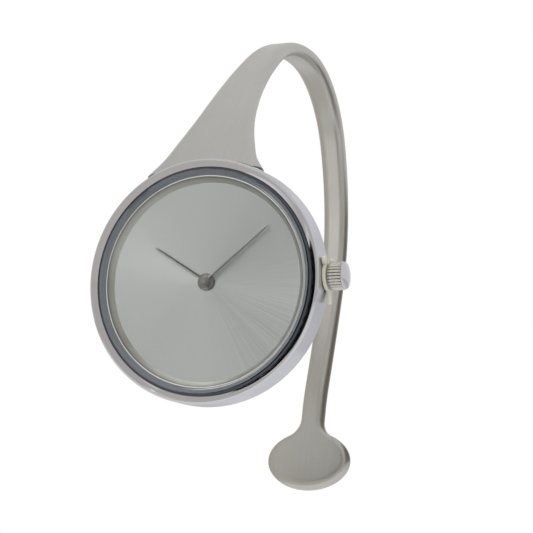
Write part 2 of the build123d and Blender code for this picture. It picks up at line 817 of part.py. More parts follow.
def chip():
    """Encapsulated chip on the board."""
    place = on_circle(chip_circle, chip_angle)
    front = plate_back + board_thickness
    block = extrude(at_depth(front, *place) * Rectangle(chip_size, chip_size), amount=chip_height)
    return chamfer(block.faces().sort_by(Axis.Y)[-1].edges(), chip_height / 4)


def battery():
    """Button cell: a can with the smaller negative cap towards the dial."""
    x, z = battery_place
    cap_back = battery_front + battery_step_height
    cell = disc(battery_radius - battery_step_width, battery_front, cap_back, x, z)
    return cell + disc(battery_radius, cap_back, battery_front + battery_height, x, z)


def battery_insulator():
    return disc(battery_radius, battery_front - insulator_thickness, battery_front, *battery_place)


def battery_clamp():
    """Spring strip over the cell, with its foot on the circuit board."""
    back = battery_front + battery_height
    board_back = plate_back + board_thickness
    foot = on_circle(board_inner_radius + clamp_foot, board_end_angle - clamp_turn)
    strip = extrude(at_depth(back) * bars(clamp_width, battery_place, foot), amount=clamp_thickness)
    return strip + disc(clamp_foot / 2, board_back, back, *foot)


def setting_lever():
    """Lever whose post sits in the stem's groove and turns as the stem slides."""
    post = (stem_groove_x + stem_groove_length / 2, 0)
    pivot = (lever_pivot_x, lever_pivot_drop)
    front = plate_back + part_gap
    arm = extrude(at_depth(front) * bars(lever_width, pivot, post), amount=lever_thickness)
    arm += disc(lever_post_radius, stem_depth + stem_groove_radius + part_gap, front, *post)
    return arm + disc(lever_pivot_radius, plate_back - pivot_length, front, *pivot)


# Crown, stem and tube


def stem():
    """Setting stem: pilot, square for the clutch, groove for the lever, and the crown's end."""
    pilot_start = stem_square_x - stem_pilot_length
    groove_end = stem_groove_x + stem_groove_length
    shaft = turned_on_stem([(pilot_start, 0), (pilot_start, stem_pilot_radius),
                            (stem_square_x, stem_pilot_radius), (stem_square_x, 0)])
    square = Rectangle(stem_square, stem_square)
    shaft += extrude(across_stem(stem_square_x) * square, amount=stem_square_length)
    collar = stem_groove_x - stem_collar_length
    cavity_end = crown_face + crown_cavity_length
    shaft += turned_on_stem([(collar, 0), (collar, stem_radius), (stem_groove_x, stem_radius),
                             (stem_groove_x, stem_groove_radius), (groove_end, stem_groove_radius),
                             (groove_end, stem_radius), (cavity_end, stem_radius), (cavity_end, 0)])
    return shaft


def crown():
    """Fluted crown with a smooth domed cap, hollow so that it slides over the tube."""
    flute_end = crown_face + crown_flute_length
    cap_radius = crown_radius - crown_cap_inset
    cap_end = flute_end + crown_cap_edge
    outline = Polyline((crown_face, 0), (crown_face, crown_radius), (flute_end, crown_radius),
                       (flute_end, cap_radius), (cap_end, cap_radius))
    top = (cap_end + crown_dome_height, 0)
    dome = TangentArc(top, (cap_end, cap_radius), tangent=(0, 1))
    outline = outline + dome + Line(top, (crown_face, 0))
    body = Pos(0, stem_depth, 0) * revolve(make_face(outline), Axis.X)
    for place in PolarLocations(crown_radius, crown_flutes):
        groove = across_stem(crown_face) * (place * Circle(crown_flute_radius))
        body -= extrude(groove, amount=crown_flute_length)
    cavity = extrude(across_stem(crown_face) * Circle(crown_skirt_bore), amount=crown_cavity_length)
    return body - cavity


def crown_gasket():
    """Ring inside the crown's skirt that rubs on the tube."""
    start = crown_face + part_gap
    section = Circle(crown_skirt_bore - running_clearance) - Circle(tube_radius + running_clearance)
    return extrude(across_stem(start) * section, amount=oring_length)


def crown_tube():
    """Tube pressed into the case wall; the stem runs in it."""
    start = case_bore_radius - tube_inner_reach
    section = Circle(tube_radius) - Circle(tube_bore_radius)
    return extrude(across_stem(start) * section, amount=case_radius + tube_reach - start)


def crown_stop_clip():
    """Plastic clip that holds the crown out: a C round the tube with two ears and a pull tail."""
    throat = tube_radius + clip_throat_clearance
    start = clip_outer_face - clip_thickness
    outline = Circle(clip_radius)
    for side in (-1, 1):
        outline += Pos(side * clip_ear_offset, clip_ear_rise) * Circle(clip_ear_radius)
    outline += Pos(0, -clip_tail_length / 2) * Rectangle(clip_tail_width, clip_tail_length)
    mouth_height = clip_ear_rise + clip_ear_radius
    outline -= Circle(throat) + Pos(0, mouth_height / 2) * Rectangle(2 * throat, mouth_height)
    return extrude(across_stem(start) * outline, amount=clip_thickness)


# Bangle


def band_stations():
    """Centreline places as (depth, height, heading), one for each width in the list."""
    return [band_point(share * band_length) for share, width in band_width_shares]


def band_point(distance):
    """Depth, height and heading after a distance along the arcs of the centreline."""
    depth, height, heading = band_root_depth, band_root_height, math.radians(band_root_heading)
    for share, turn in band_arc_shares:
        if distance <= 0:
            break
        length = share * band_length
        step = min(length, distance)
        bend = math.radians(turn) * step / length
        chord = 2 * step / bend * math.sin(bend / 2)
        depth += chord * math.cos(heading - bend / 2)
        height += chord * math.sin(heading - bend / 2)
        heading -= bend
        distance -= step
    return depth, height, heading


def across_band(station):
    depth, height, heading = station
    return Plane(origin=(0, depth, height), x_dir=(1, 0, 0), z_dir=(0, math.cos(heading), math.sin(heading)))


def bangle():
    """Rigid strap lofted along its arcs, flared where it meets the case, with its paddle."""
    sections = []
    for station, (share, width) in zip(band_stations(), band_width_shares):
        outline = RectangleRounded(width * band_neck_width, band_thickness, band_edge_round)
        sections.append(across_band(station) * outline)
    strap = loft(sections)
    strap -= disc(case_radius, -case_radius, case_radius)
    return strap + paddle()


def paddle():
    """Flat oval end on a flared neck, its edges rounded like the strap's."""
    face = across_band(band_stations()[-1])
    flat = Plane(origin=face.origin, x_dir=(1, 0, 0), z_dir=face.y_dir)
    # In this plane the strap's own direction is -Y
    middle = paddle_neck_length + paddle_height / 2
    oval = Pos(0, -middle) * Rot(0, 0, paddle_cant) * Ellipse(paddle_width / 2, paddle_height / 2)
    neck = Pos(0, -middle / 2) * Rectangle(band_neck_width, middle)
    outline = oval + neck
    inner = [v for v in outline.vertices() if -middle < v.Y < -paddle_neck_length * neck_fit_share]
    outline = fillet(inner, paddle_neck_round)
    solid = extrude(flat.offset(-band_thickness / 2) * outline, amount=band_thickness)
    rim = [e for e in solid.edges() if not on_section(e, face)]
    flat_edges = [e for e in rim if abs(flat.to_local_coords(e @ neck_fit_share).Z)
                  > band_thickness * neck_fit_share and is_flat(e, flat)]
    return fillet(flat_edges, band_edge_round)


def on_section(edge, face):
    """True where an edge lies in the strap's last section."""
    return all(abs(face.to_local_coords(edge @ share).Z) < part_gap for share in (0, neck_fit_share, 1))


def is_flat(edge, flat):
    """True where an edge keeps one height over the paddle's middle plane."""
    heights = [flat.to_local_coords(edge @ share).Z for share in (0, 1)]
    return abs(heights[0] - heights[1]) < part_gap


def wrist_centre():
    """Middle of the room for the wrist, between the back and the band, paddle tip and top."""
    reach = [band_point(band_length * step / 200) for step in range(201)]
    far = max(point[0] for point in reach) - band_thickness / 2
    top = max(point[1] for point in reach) - band_thickness / 2
    return (lid_back + far) / 2, (top - case_radius) / 2


pieces = {
    "case_body": case_body, "crystal": crystal, "crystal_gasket": crystal_gasket,
    "flange_ring": flange_ring, "dial": dial, "hour_hand": hour_hand, "minute_hand": minute_hand,
    "cannon_pinion": cannon_pinion, "hour_wheel": hour_wheel, "minute_wheel": minute_wheel,
    "setting_wheel": setting_wheel, "sliding_pinion": sliding_pinion, "stem": stem, "crown": crown,
    "crown_gasket": crown_gasket, "crown_tube": crown_tube, "crown_stop_clip": crown_stop_clip,
    "setting_lever": setting_lever, "main_plate": main_plate, "train_bridge": train_bridge,
    "bridge_screws": bridge_screws, "centre_wheel": centre_wheel, "third_wheel": third_wheel,
    "fourth_wheel": fourth_wheel, "fifth_wheel": fifth_wheel, "rotor": rotor, "stator": stator,
    "coil_core": coil_core, "coil": coil, "circuit_board": circuit_board, "quartz_can": quartz_can,
    "chip": chip, "battery": battery, "battery_insulator": battery_insulator,
    "battery_clamp": battery_clamp, "movement_holder": movement_holder, "case_back": case_back,
    "case_back_gasket": case_back_gasket, "bangle": bangle,
}

os.makedirs("parts", exist_ok=True)
centre_depth, centre_height = wrist_centre()
to_wrist = Pos(0, -centre_depth, -centre_height)
for name, make in pieces.items():
    export_step(to_wrist * make(), "parts/" + name + ".step")
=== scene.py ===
import math

import bmesh
import bpy
import numpy as np
from mathutils import Matrix, Vector


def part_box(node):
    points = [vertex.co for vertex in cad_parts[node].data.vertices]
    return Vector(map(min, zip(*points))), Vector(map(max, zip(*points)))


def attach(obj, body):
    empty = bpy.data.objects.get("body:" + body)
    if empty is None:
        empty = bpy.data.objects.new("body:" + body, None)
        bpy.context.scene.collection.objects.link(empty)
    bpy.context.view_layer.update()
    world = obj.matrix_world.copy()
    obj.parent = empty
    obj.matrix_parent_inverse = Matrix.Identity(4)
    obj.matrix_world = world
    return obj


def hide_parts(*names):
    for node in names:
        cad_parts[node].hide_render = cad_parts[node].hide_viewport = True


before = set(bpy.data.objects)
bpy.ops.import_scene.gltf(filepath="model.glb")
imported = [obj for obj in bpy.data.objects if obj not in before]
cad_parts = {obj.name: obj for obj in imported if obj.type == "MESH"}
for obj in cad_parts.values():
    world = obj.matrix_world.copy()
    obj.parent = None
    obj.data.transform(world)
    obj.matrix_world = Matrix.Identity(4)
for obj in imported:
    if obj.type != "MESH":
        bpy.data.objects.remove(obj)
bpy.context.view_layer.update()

# The studio: a long lens stands a little to the right of the dial and below it, looking up at the
# watch. The room is a white tent over a pale floor, with soft lamps and dark and grey cards for the
# steel and glass to reflect, five close about the bangle. A small lamp throws soft shadows.
mm = 0.001
case_low, case_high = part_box("case_body")
bezel_middle = Vector((0, case_low.y, (case_low.z + case_high.z) / 2))
camera_turn, camera_rise, camera_roll = (math.radians(angle) for angle in (21.8, 8.66, -0.25))
camera_distance = 443.8 * mm
bezel_left_of_view, bezel_below_view = 8.79 * mm, 1.93 * mm
camera_lens = 219.2

ahead = Vector((-math.sin(camera_turn) * math.cos(camera_rise),
                math.cos(camera_turn) * math.cos(camera_rise), math.sin(camera_rise)))
level = Vector((math.cos(camera_turn), math.sin(camera_turn), 0))
upright = level.cross(ahead)
right = level * math.cos(camera_roll) + upright * math.sin(camera_roll)
upward = upright * math.cos(camera_roll) - level * math.sin(camera_roll)
camera_place = (bezel_middle - ahead * camera_distance
                + right * bezel_left_of_view + upward * bezel_below_view)
camera_axes = Matrix((right, upward, -ahead)).transposed().to_4x4()
camera_data = bpy.data.cameras.new("camera")
camera_data.lens = camera_lens
camera_data.clip_start = 10 * mm
camera = bpy.data.objects.new("camera", camera_data)
camera.matrix_world = Matrix.Translation(camera_place) @ camera_axes
bpy.context.scene.collection.objects.link(camera)
bpy.context.scene.camera = camera
bpy.context.scene.view_settings.view_transform = "Standard"


def linked(name, mesh):
    """A new object in the scene for a mesh."""
    piece = bpy.data.objects.new(name, mesh)
    bpy.context.scene.collection.objects.link(piece)
    return piece


def new_finish(name, colour, metallic, roughness):
    """A material and its tree, with the Principled shader's own plain values set."""
    material = bpy.data.materials.new(name)
    material.use_nodes = True
    shader = material.node_tree.nodes["Principled BSDF"]
    shader.inputs["Base Color"].default_value = (*colour, 1)
    shader.inputs["Metallic"].default_value = metallic
    shader.inputs["Roughness"].default_value = roughness
    return material, material.node_tree, shader


def add(tree, kind, **values):
    """A new node; each value goes to its setting of that name, or else to its input.

    Kinds are shader nodes, unless they are given in full.
    """
    node = tree.nodes.new(kind if "Node" in kind else "ShaderNode" + kind)
    for name, value in values.items():
        if hasattr(node, name):
            setattr(node, name, value)
        else:
            node.inputs[name.replace("_", " ")].default_value = value
    return node


def wire(tree, links):
    """Links nodes; each link is (source, its output, target, its input)."""
    for source, output, target, entry in links:
        tree.links.new(source.outputs[output], target.inputs[entry])


def toned(tree, dark, light):
    """A colour ramp from dark to light."""
    ramp = add(tree, "ValToRGB")
    for stop, colour in zip(ramp.color_ramp.elements, (dark, light)):
        stop.color = (*colour, 1)
    return ramp


def card(name, centre, aim, size):
    """A stage card that faces aim."""
    half_width, half_height = size[0] / 2, size[1] / 2
    mesh = bpy.data.meshes.new(name)
    corners = [(-half_width, -half_height, 0), (half_width, -half_height, 0),
               (half_width, half_height, 0), (-half_width, half_height, 0)]
    mesh.from_pydata(corners, [], [(0, 1, 2, 3)])
    turn = (Vector(aim) - Vector(centre)).to_track_quat("Z", "Y").to_matrix().to_4x4()
    mesh.transform(Matrix.Translation(centre) @ turn)
    piece = linked(name, mesh)
    return piece


floor_drop, floor_width = 125 * mm, 8
floor = card("floor", (0, 0, -floor_drop), (0, 0, 1), (floor_width, floor_width))
floor.data.materials.append(new_finish("floor_paper", (0.86, 0.86, 0.86), 0, 0.8)[0])
# Each card: its name, centre, what it faces, its size, its glow, and what shows it
cards = (
    ("left_black", (-0.606, -0.329, 0.28), (0, 0, 0), (0.36, 0.57), (0.004, 0.004, 0.008), "steel"),
    ("front_grey", (0.32, -0.8, 0.3), (0, 0, 0), (1.0, 0.95), (0.6, 0.585, 0.555), "steel"),
    ("front_dim", (-0.38, -0.7, 0.42), (0, 0, 0), (0.42, 1.3), (0.61, 0.6, 0.57), "steel"),
    ("low_grey", (-0.027, -0.19, -0.055), (0, 0, 0), (0.23, 0.138), (0.64, 0.62, 0.58), "steel"),
    ("band_dark", (0.02, 0.0445, -0.0085), (0, 0.0445, -0.0085), (0.061, 0.043),
     (0.2, 0.185, 0.15), "steel"),
    ("band_shade", (0.02, 0.006, -0.0125), (0, 0.006, -0.0125), (0.016, 0.035),
     (0.2, 0.185, 0.15), "steel"),
    ("band_left", (-0.015, 0.016, -0.0125), (0, 0.016, -0.0125), (0.038, 0.059),
     (0.62, 0.6, 0.56), "steel"),
    ("band_glow", (-0.007, 0.002, 0.011), (-0.007, 0.1, 0.011), (0.01, 0.007),
     (1.25, 1.24, 1.22), "steel"),
    ("oval_glow", (-0.006, 0, -0.019), (0, 0.008, -0.032), (0.016, 0.014),
     (0.66, 0.65, 0.63), "steel"),
    ("top_dark", (0.056, -0.486, 0.634), (0, 0, 0), (0.26, 0.24), (0.03, 0.03, 0.03), "glass"),
    ("flange_dark", (0.62, -0.1, 0.32), (0, 0, 0), (0.4, 0.75), (0.3, 0.29, 0.26), "glass"),
    ("low_dark", (0.052, -0.112, -0.122), (0, 0, 0), (0.12, 0.1), (0.05, 0.05, 0.05), "glass"))
for name, centre, aim, size, glow, shown_in in cards:
    reflector = card(name, centre, aim, size)
    glowing, _, glow_shader = new_finish(name, (0, 0, 0), 0, 1)
    glow_shader.inputs["Specular IOR Level"].default_value = 0
    glow_shader.inputs["Emission Color"].default_value = (*glow, 1)
    glow_shader.inputs["Emission Strength"].default_value = 1
    reflector.data.materials.append(glowing)
    reflector.visible_camera = False
    reflector.visible_diffuse = False
    reflector.visible_shadow = False
    reflector.visible_glossy = shown_in == "steel"
    reflector.visible_transmission = shown_in == "glass"

for name, place, size, power, in_steel in (
        ("top_lamp", (-0.15, -0.1, 0.75), 0.7, 4.0, False),
        ("right_lamp", (0.65, -0.35, 0.3), 0.4, 0.7, False),
        ("shadow_lamp", (-0.22, -0.69, 0.35), 0.13, 0.12, True)):
    lamp_data = bpy.data.lights.new(name, "AREA")
    lamp_data.size = size
    lamp_data.energy = power
    lamp = bpy.data.objects.new(name, lamp_data)
    facing = (-Vector(place)).to_track_quat("-Z", "Y").to_matrix().to_4x4()
    lamp.matrix_world = Matrix.Translation(place) @ facing
    lamp.visible_glossy = in_steel
    bpy.context.scene.collection.objects.link(lamp)

world = bpy.data.worlds.new("white_tent")
world.use_nodes = True
bpy.context.scene.world = world
tent = world.node_tree.nodes["Background"]
tent.inputs["Color"].default_value = (1, 1, 1, 1)
tent_in_steel = 0.8
tent_on_matt = 0.6
seen = add(world.node_tree, "LightPath")
seen_by_camera = add(world.node_tree, "Math", operation="MAXIMUM")
for_steel = add(world.node_tree, "MapRange", To_Min=tent_on_matt, To_Max=tent_in_steel)
for_view = add(world.node_tree, "Mix", data_type="FLOAT", B=1.0)
wire(world.node_tree, (
    (seen, "Is Camera Ray", seen_by_camera, 0), (seen, "Is Transmission Ray", seen_by_camera, 1),
    (seen, "Is Glossy Ray", for_steel, "Value"), (seen_by_camera, 0, for_view, "Factor"),
    (for_steel, 0, for_view, "A"), (for_view, 0, tent, "Strength")))

# The case: bezel and middle turned in one from stainless steel and polished bright. Its lip slopes
# in to the crystal, its outer edge is rounded, and a round recess at 3 o'clock takes the crown.
# The recess is painted near black, as painted shade.
case_radius = (case_high.x - case_low.x) / 2
case_depth = case_high.y - case_low.y
bezel_lip = case_radius - 1.15 * mm
bezel_lip_drop = 0.28 * mm
lip_slope_width, lip_slope_drop, lip_slope_round = 0.36 * mm, 0.11 * mm, 3 * mm
bezel_crest, crest_round = bezel_lip + 0.75 * mm, 0.06 * mm
bezel_edge_width, bezel_edge_drop, bezel_edge_round = 0.3 * mm, 0.2 * mm, 0.3 * mm
bore_round, rear_round = 0.05 * mm, 0.12 * mm
case_bore = case_radius - 2.25 * mm
glass_ledge = 0.95 * mm
case_wall_depth = 4 * mm
case_rear = case_radius - 1.1 * mm
recess_radius, recess_depth = 2.15 * mm, 0.7 * mm
tube_hole_radius = 0.85 * mm
cutter_past_bore, cutter_past_side = 1 * mm, 2 * mm
stem_depth = 3.31 * mm
recess_tolerance, side_tolerance = 0.01 * mm, 0.02 * mm
turning_steps = 256
arc_steps = 7
arc_support_share, arc_support_most = 0.25, 0.05 * mm


def rounded(outline):
    """Points of a closed outline given as (radius, depth, round), with its corners made arcs.

    A support point beside each arc keeps the shading of the flat next to it flat.
    """
    points = []
    befores, afters = outline[-1:] + outline[:-1], outline[1:] + outline[:1]
    for before, (x, y, size), after in zip(befores, outline, afters):
        if size == 0:
            points.append((x, y))
            continue
        tail = min(arc_support_share * size, arc_support_most)
        back = (Vector(before[:2]) - Vector((x, y))).normalized()
        on = (Vector(after[:2]) - Vector((x, y))).normalized()
        half = back.angle(on) / 2
        centre = Vector((x, y)) + (back + on).normalized() * size / math.sin(half)
        start = Vector((x, y)) + back * size / math.tan(half) - centre
        end = Vector((x, y)) + on * size / math.tan(half) - centre
        points.append(tuple(centre + start + back * tail))
        for step in range(arc_steps + 1):
            points.append(tuple(centre + start.lerp(end, step / arc_steps).normalized() * size))
        points.append(tuple(centre + end + on * tail))
    return points


def turning_tree(name, axis, groove_sharpness=None):
    """Turns an outline, drawn as a row of vertices, about an axis: a grid of steps and rings.

    With a groove sharpness, each ring is pinched in between its ribs, by the outline's pinch.
    """
    tree = bpy.data.node_groups.new(name, "GeometryNodeTree")
    for socket, kind in (("Outline", "Geometry"), ("Steps", "Int"), ("Flutes", "Float"),
                         ("Axis Place", "Vector"), ("Finish", "Material")):
        tree.interface.new_socket(socket, in_out="INPUT", socket_type="NodeSocket" + kind)
    tree.interface.new_socket("Piece", in_out="OUTPUT", socket_type="NodeSocketGeometry")
    given = add(tree, "NodeGroupInput")
    count = add(tree, "GeometryNodeAttributeDomainSize")
    columns = add(tree, "Math", operation="ADD")
    grid = add(tree, "GeometryNodeMeshGrid", Size_X=1.0, Size_Y=1.0)
    where = add(tree, "GeometryNodeInputPosition")
    split = add(tree, "SeparateXYZ")
    angle = add(tree, "MapRange", From_Min=-0.5, From_Max=0.5, To_Min=0.0, To_Max=math.tau)
    last = add(tree, "Math", operation="SUBTRACT")
    row = add(tree, "Math", operation="MULTIPLY")
    shift = add(tree, "Math", operation="ADD")
    sample = add(tree, "GeometryNodeSampleIndex", data_type="FLOAT_VECTOR")
    place = add(tree, "GeometryNodeInputPosition")
    turn = add(tree, "VectorRotate", rotation_type=axis)
    move = add(tree, "GeometryNodeSetPosition")
    merge = add(tree, "GeometryNodeMergeByDistance", Distance=1e-7)
    real = add(tree, "GeometryNodeRealizeInstances")
    finish = add(tree, "GeometryNodeSetMaterial")
    out = add(tree, "NodeGroupOutput")
    columns.inputs[1].default_value = 1
    last.inputs[1].default_value = 1
    shift.inputs[1].default_value = 0.5
    drawn = sample
    if groove_sharpness:
        pinch = add(tree, "GeometryNodeSampleIndex", data_type="FLOAT")
        pinch_value = add(tree, "GeometryNodeInputNamedAttribute", data_type="FLOAT", Name="pinch")
        swing = add(tree, "Math", operation="MULTIPLY")
        wave = add(tree, "Math", operation="SINE")
        size = add(tree, "Math", operation="ABSOLUTE")
        sharp = add(tree, "Math", operation="POWER")
        groove = add(tree, "Math", operation="SUBTRACT")
        cut_in = add(tree, "Math", operation="MULTIPLY")
        inward = add(tree, "CombineXYZ")
        drawn = add(tree, "VectorMath", operation="ADD")
        sharp.inputs[1].default_value = groove_sharpness
        groove.inputs[1].default_value = 1
        wire(tree, (
            (given, "Outline", pinch, "Geometry"), (pinch_value, 0, pinch, "Value"),
            (row, 0, pinch, "Index"), (angle, 0, swing, 0), (given, "Flutes", swing, 1),
            (swing, 0, wave, 0), (wave, 0, size, 0), (size, 0, sharp, 0), (sharp, 0, groove, 0),
            (groove, 0, cut_in, 0), (pinch, 0, cut_in, 1), (cut_in, 0, inward, "Z"),
            (sample, 0, drawn, 0), (inward, 0, drawn, 1)))
    wire(tree, (
        (given, "Outline", count, "Geometry"), (given, "Steps", columns, 0),
        (columns, 0, grid, "Vertices X"), (count, "Point Count", grid, "Vertices Y"),
        (count, "Point Count", last, 0), (where, 0, split, 0), (split, "X", angle, "Value"),
        (split, "Y", shift, 0), (shift, 0, row, 0), (last, 0, row, 1),
        (given, "Outline", sample, "Geometry"), (place, 0, sample, "Value"),
        (row, 0, sample, "Index"), (drawn, 0, turn, "Vector"),
        (given, "Axis Place", turn, "Center"), (angle, 0, turn, "Angle"),
        (grid, "Mesh", move, "Geometry"), (turn, 0, move, "Position"), (move, 0, merge, "Geometry"),
        (merge, 0, real, 0), (real, 0, finish, "Geometry"), (given, "Finish", finish, "Material"),
        (finish, 0, out, 0)))
    return tree


def settle(piece):
    """Applies what modifiers the piece has."""
    bpy.context.view_layer.update()
    settled = piece.evaluated_get(bpy.context.evaluated_depsgraph_get())
    result = bpy.data.meshes.new_from_object(settled)
    piece.modifiers.clear()
    piece.data = result


def made_plain(piece, tree, values):
    """Gives the piece a node tree's result as its plain mesh; values go to the tree's inputs."""
    modifier = piece.modifiers.new("nodes", "NODES")
    modifier.node_group = tree
    for item in tree.interface.items_tree:
        if item.in_out == "INPUT" and item.name in values:
            modifier[item.identifier] = values[item.name]
    settle(piece)
    while piece.data.materials[0] is None:
        piece.data.materials.pop(index=0)


def face_outwards(mesh):
    """Joins what meets and turns all the faces outwards."""
    solid = bmesh.new()
    solid.from_mesh(mesh)
    bmesh.ops.remove_doubles(solid, verts=solid.verts, dist=1e-8)
    bmesh.ops.recalc_face_normals(solid, faces=solid.faces)
    solid.to_mesh(mesh)
    solid.free()


def smooth_but_for_edges(mesh, angle=32):
    """Shades the mesh smooth, apart from edges sharper than the angle in degrees."""
    mesh.polygons.foreach_set("use_smooth", [True] * len(mesh.polygons))
    mesh.set_sharp_from_angle(angle=math.radians(angle))


def turned(name, outline, finish, steps=turning_steps, closed=True):
    """A piece turned about the dial's axis from (radius, depth, round) corners, in metres."""
    points = rounded(outline)
    if closed:
        points.append(points[0])
    mesh = bpy.data.meshes.new(name)
    mesh.from_pydata([(radius, bezel_middle.y + depth, bezel_middle.z)
                      for radius, depth in points], [], [])
    piece = linked(name, mesh)
    made_plain(piece, turning, {"Steps": steps, "Axis Place": bezel_middle, "Finish": finish})
    face_outwards(piece.data)
    smooth_but_for_edges(piece.data)
    return piece


def polished_steel(name, colour, roughness):
    """Bright polished steel: faint hairlines from wear and a slight unevenness in the polish."""
    material, tree, shader = new_finish(name, colour, 1, roughness)
    place = add(tree, "TexCoord")
    wear = add(tree, "TexNoise", Scale=420.0, Detail=4.0)
    shine = add(tree, "MapRange", To_Min=roughness * 0.8, To_Max=roughness * 1.35)
    hairlines = add(tree, "TexNoise", Scale=9000.0, Detail=2.0)
    bump = add(tree, "Bump", Strength=0.02, Distance=0.00001)
    wire(tree, (
        (place, "Object", wear, "Vector"), (wear, "Fac", shine, "Value"),
        (shine, 0, shader, "Roughness"), (place, "Object", hairlines, "Vector"),
        (hairlines, "Fac", bump, "Height"), (bump, 0, shader, "Normal")))
    return material


turning = turning_tree("turning", "Y_AXIS")
case_finish = polished_steel("polished_case_steel", (0.595, 0.59, 0.61), 0.06)
case = turned("case", [
    (case_bore, glass_ledge, 0), (bezel_lip, glass_ledge, 0),
    (bezel_lip, bezel_lip_drop, bore_round),
    (bezel_lip + lip_slope_width, lip_slope_drop, lip_slope_round), (bezel_crest, 0, crest_round),
    (case_radius - bezel_edge_width, 0, crest_round),
    (case_radius, bezel_edge_drop, bezel_edge_round),
    (case_radius, case_wall_depth, bezel_edge_round),
    (case_rear, case_depth, rear_round), (case_bore, case_depth, bore_round)], case_finish)
stem_place = bezel_middle + Vector((case_radius, stem_depth, 0))


def cylinder(name, radius, length, middle, turned_about, segments):
    """A closed cylinder, turned from upright about the axis that is named."""
    solid = bmesh.new()
    bmesh.ops.create_cone(solid, cap_ends=True, segments=segments, radius1=radius,
                          radius2=radius, depth=length)
    mesh = bpy.data.meshes.new(name)
    solid.to_mesh(mesh)
    solid.free()
    mesh.transform(Matrix.Translation(middle) @ Matrix.Rotation(math.pi / 2, 4, turned_about))
    return linked(name, mesh)


def round_cutter(radius, start_x, end_x):
    """A closed cylinder along the stem's axis, for cutting."""
    middle = Vector(((start_x + end_x) / 2, stem_place.y, stem_place.z))
    return cylinder("cutter", radius, end_x - start_x, middle, "Y", 96)


def cut(piece, cutter):
    """Takes the cutter's shape out of the piece and removes the cutter."""
    modifier = piece.modifiers.new("cut", "BOOLEAN")
    modifier.operation = "DIFFERENCE"
    modifier.solver = "EXACT"
    modifier.object = cutter
    settle(piece)
    bpy.data.objects.remove(cutter)


def from_axis(face):
    """How far the middle of a face is from the dial's axis."""
    return math.hypot(face.center.x, face.center.z - bezel_middle.z)


cutter_end = case_radius + cutter_past_side
cut(case, round_cutter(recess_radius, case_radius - recess_depth, cutter_end))
cut(case, round_cutter(tube_hole_radius, case_bore - cutter_past_bore, cutter_end))
smooth_but_for_edges(case.data)
# Painted shade: the crown's recess and the hole through the wall get a near-black steel.
case.data.materials.append(polished_steel("recess_painted_shade", (0.035, 0.037, 0.045), 0.3))
case.data.materials.append(polished_steel("side_steel", (0.6, 0.6, 0.66), 0.3))
for face in case.data.polygons:
    beside_stem = math.hypot(face.center.y - stem_place.y, face.center.z - stem_place.z)
    if face.center.x > case_bore and beside_stem < recess_radius + recess_tolerance:
        face.material_index = 1
    elif from_axis(face) > case_radius - side_tolerance:
        face.material_index = 2
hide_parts("case_body")
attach(case, "case")

# The crystal: a flat disc of mineral glass that stands just proud of the bezel, with a ground and
# polished edge. A gasket wraps its edge, its outer rim painted darker as painted shade, and a
# sloping steel ring, with a painted highlight on its top edge and painted shade below it, leads
# down from it to the dial.
glass_radius = bezel_lip - 0.35 * mm
glass_front, glass_back = -0.35 * mm, 0.8 * mm
glass_edge_width, glass_edge_drop, glass_round = 0.55 * mm, 0.3 * mm, 0.04 * mm
ring_outer, ring_inner = case_bore - 0.05 * mm, case_bore - 0.95 * mm
ring_top_width, ring_round = 0.12 * mm, 0.03 * mm
seal_gap, seal_round = 0.01 * mm, 0.05 * mm
seal_front, seal_back = 0.4 * mm, glass_back + seal_gap
seal_inner, seal_outer = glass_radius + seal_gap, bezel_lip - seal_gap
seal_foot = ring_outer + 0.02 * mm
dial_depth = 1.9 * mm

glass, _, glass_shader = new_finish("mineral_glass", (0.97, 0.985, 0.985), 0, 0)
glass_shader.inputs["Transmission Weight"].default_value = 1
glass_shader.inputs["IOR"].default_value = 1.5
crystal = turned("crystal_glass", [
    (0, glass_front, 0), (glass_radius - glass_edge_width, glass_front, glass_round),
    (glass_radius, glass_front + glass_edge_drop, glass_round),
    (glass_radius, glass_back, glass_round), (0, glass_back, 0)], glass, closed=False)
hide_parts("crystal")
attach(crystal, "case")

gasket_finish = new_finish("gasket_nylon", (0.15, 0.175, 0.205), 0, 0.35)[0]
gasket_painted_shade = new_finish("gasket_painted_shade", (0.075, 0.082, 0.105), 0, 0.3)[0]
gasket = turned("crystal_seal", [
    (seal_inner, seal_front, 0), (seal_outer, seal_front, seal_round),
    (seal_outer, glass_ledge, 0), (seal_foot, glass_ledge, 0),
    (seal_foot, seal_back, 0), (seal_inner, seal_back, 0)], gasket_finish)
# Painted shade: the gasket's outer rim, in the groove by the bezel's lip, is made darker.
gasket.data.materials.append(gasket_painted_shade)
for face in gasket.data.polygons:
    if from_axis(face) > glass_radius - side_tolerance:
        face.material_index = 1
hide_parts("crystal_gasket")
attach(gasket, "case")


def ring_with_painted_light():
    """The ring's steel with painted light by depth: a painted highlight on its top edge, then
    painted shade, and lighter again towards the dial.
    """
    material, tree, shader = new_finish("flange_steel", (0.6, 0.58, 0.53), 1, 0.28)
    place = add(tree, "TexCoord")
    split = add(tree, "SeparateXYZ")
    depth = add(tree, "MapRange", From_Min=bezel_middle.y + glass_ledge,
                From_Max=bezel_middle.y + dial_depth)
    # Painted light and shade: the colour goes by depth, bright at the top edge, dark just below it.
    tone = toned(tree, (0.8, 0.79, 0.77), (0.64, 0.625, 0.585))
    grain = add(tree, "TexNoise", Scale=1500.0, Detail=3.0)
    bump = add(tree, "Bump", Strength=0.05, Distance=0.00001)
    for position, colour in ((0.06, (0.2, 0.19, 0.155)), (0.4, (0.52, 0.505, 0.455))):
        stop = tone.color_ramp.elements.new(position)
        stop.color = (*colour, 1)
    wire(tree, (
        (place, "Object", split, 0), (split, "Y", depth, "Value"), (depth, 0, tone, "Fac"),
        (tone, "Color", shader, "Base Color"), (place, "Object", grain, "Vector"),
        (grain, "Fac", bump, "Height"), (bump, 0, shader, "Normal")))
    return material


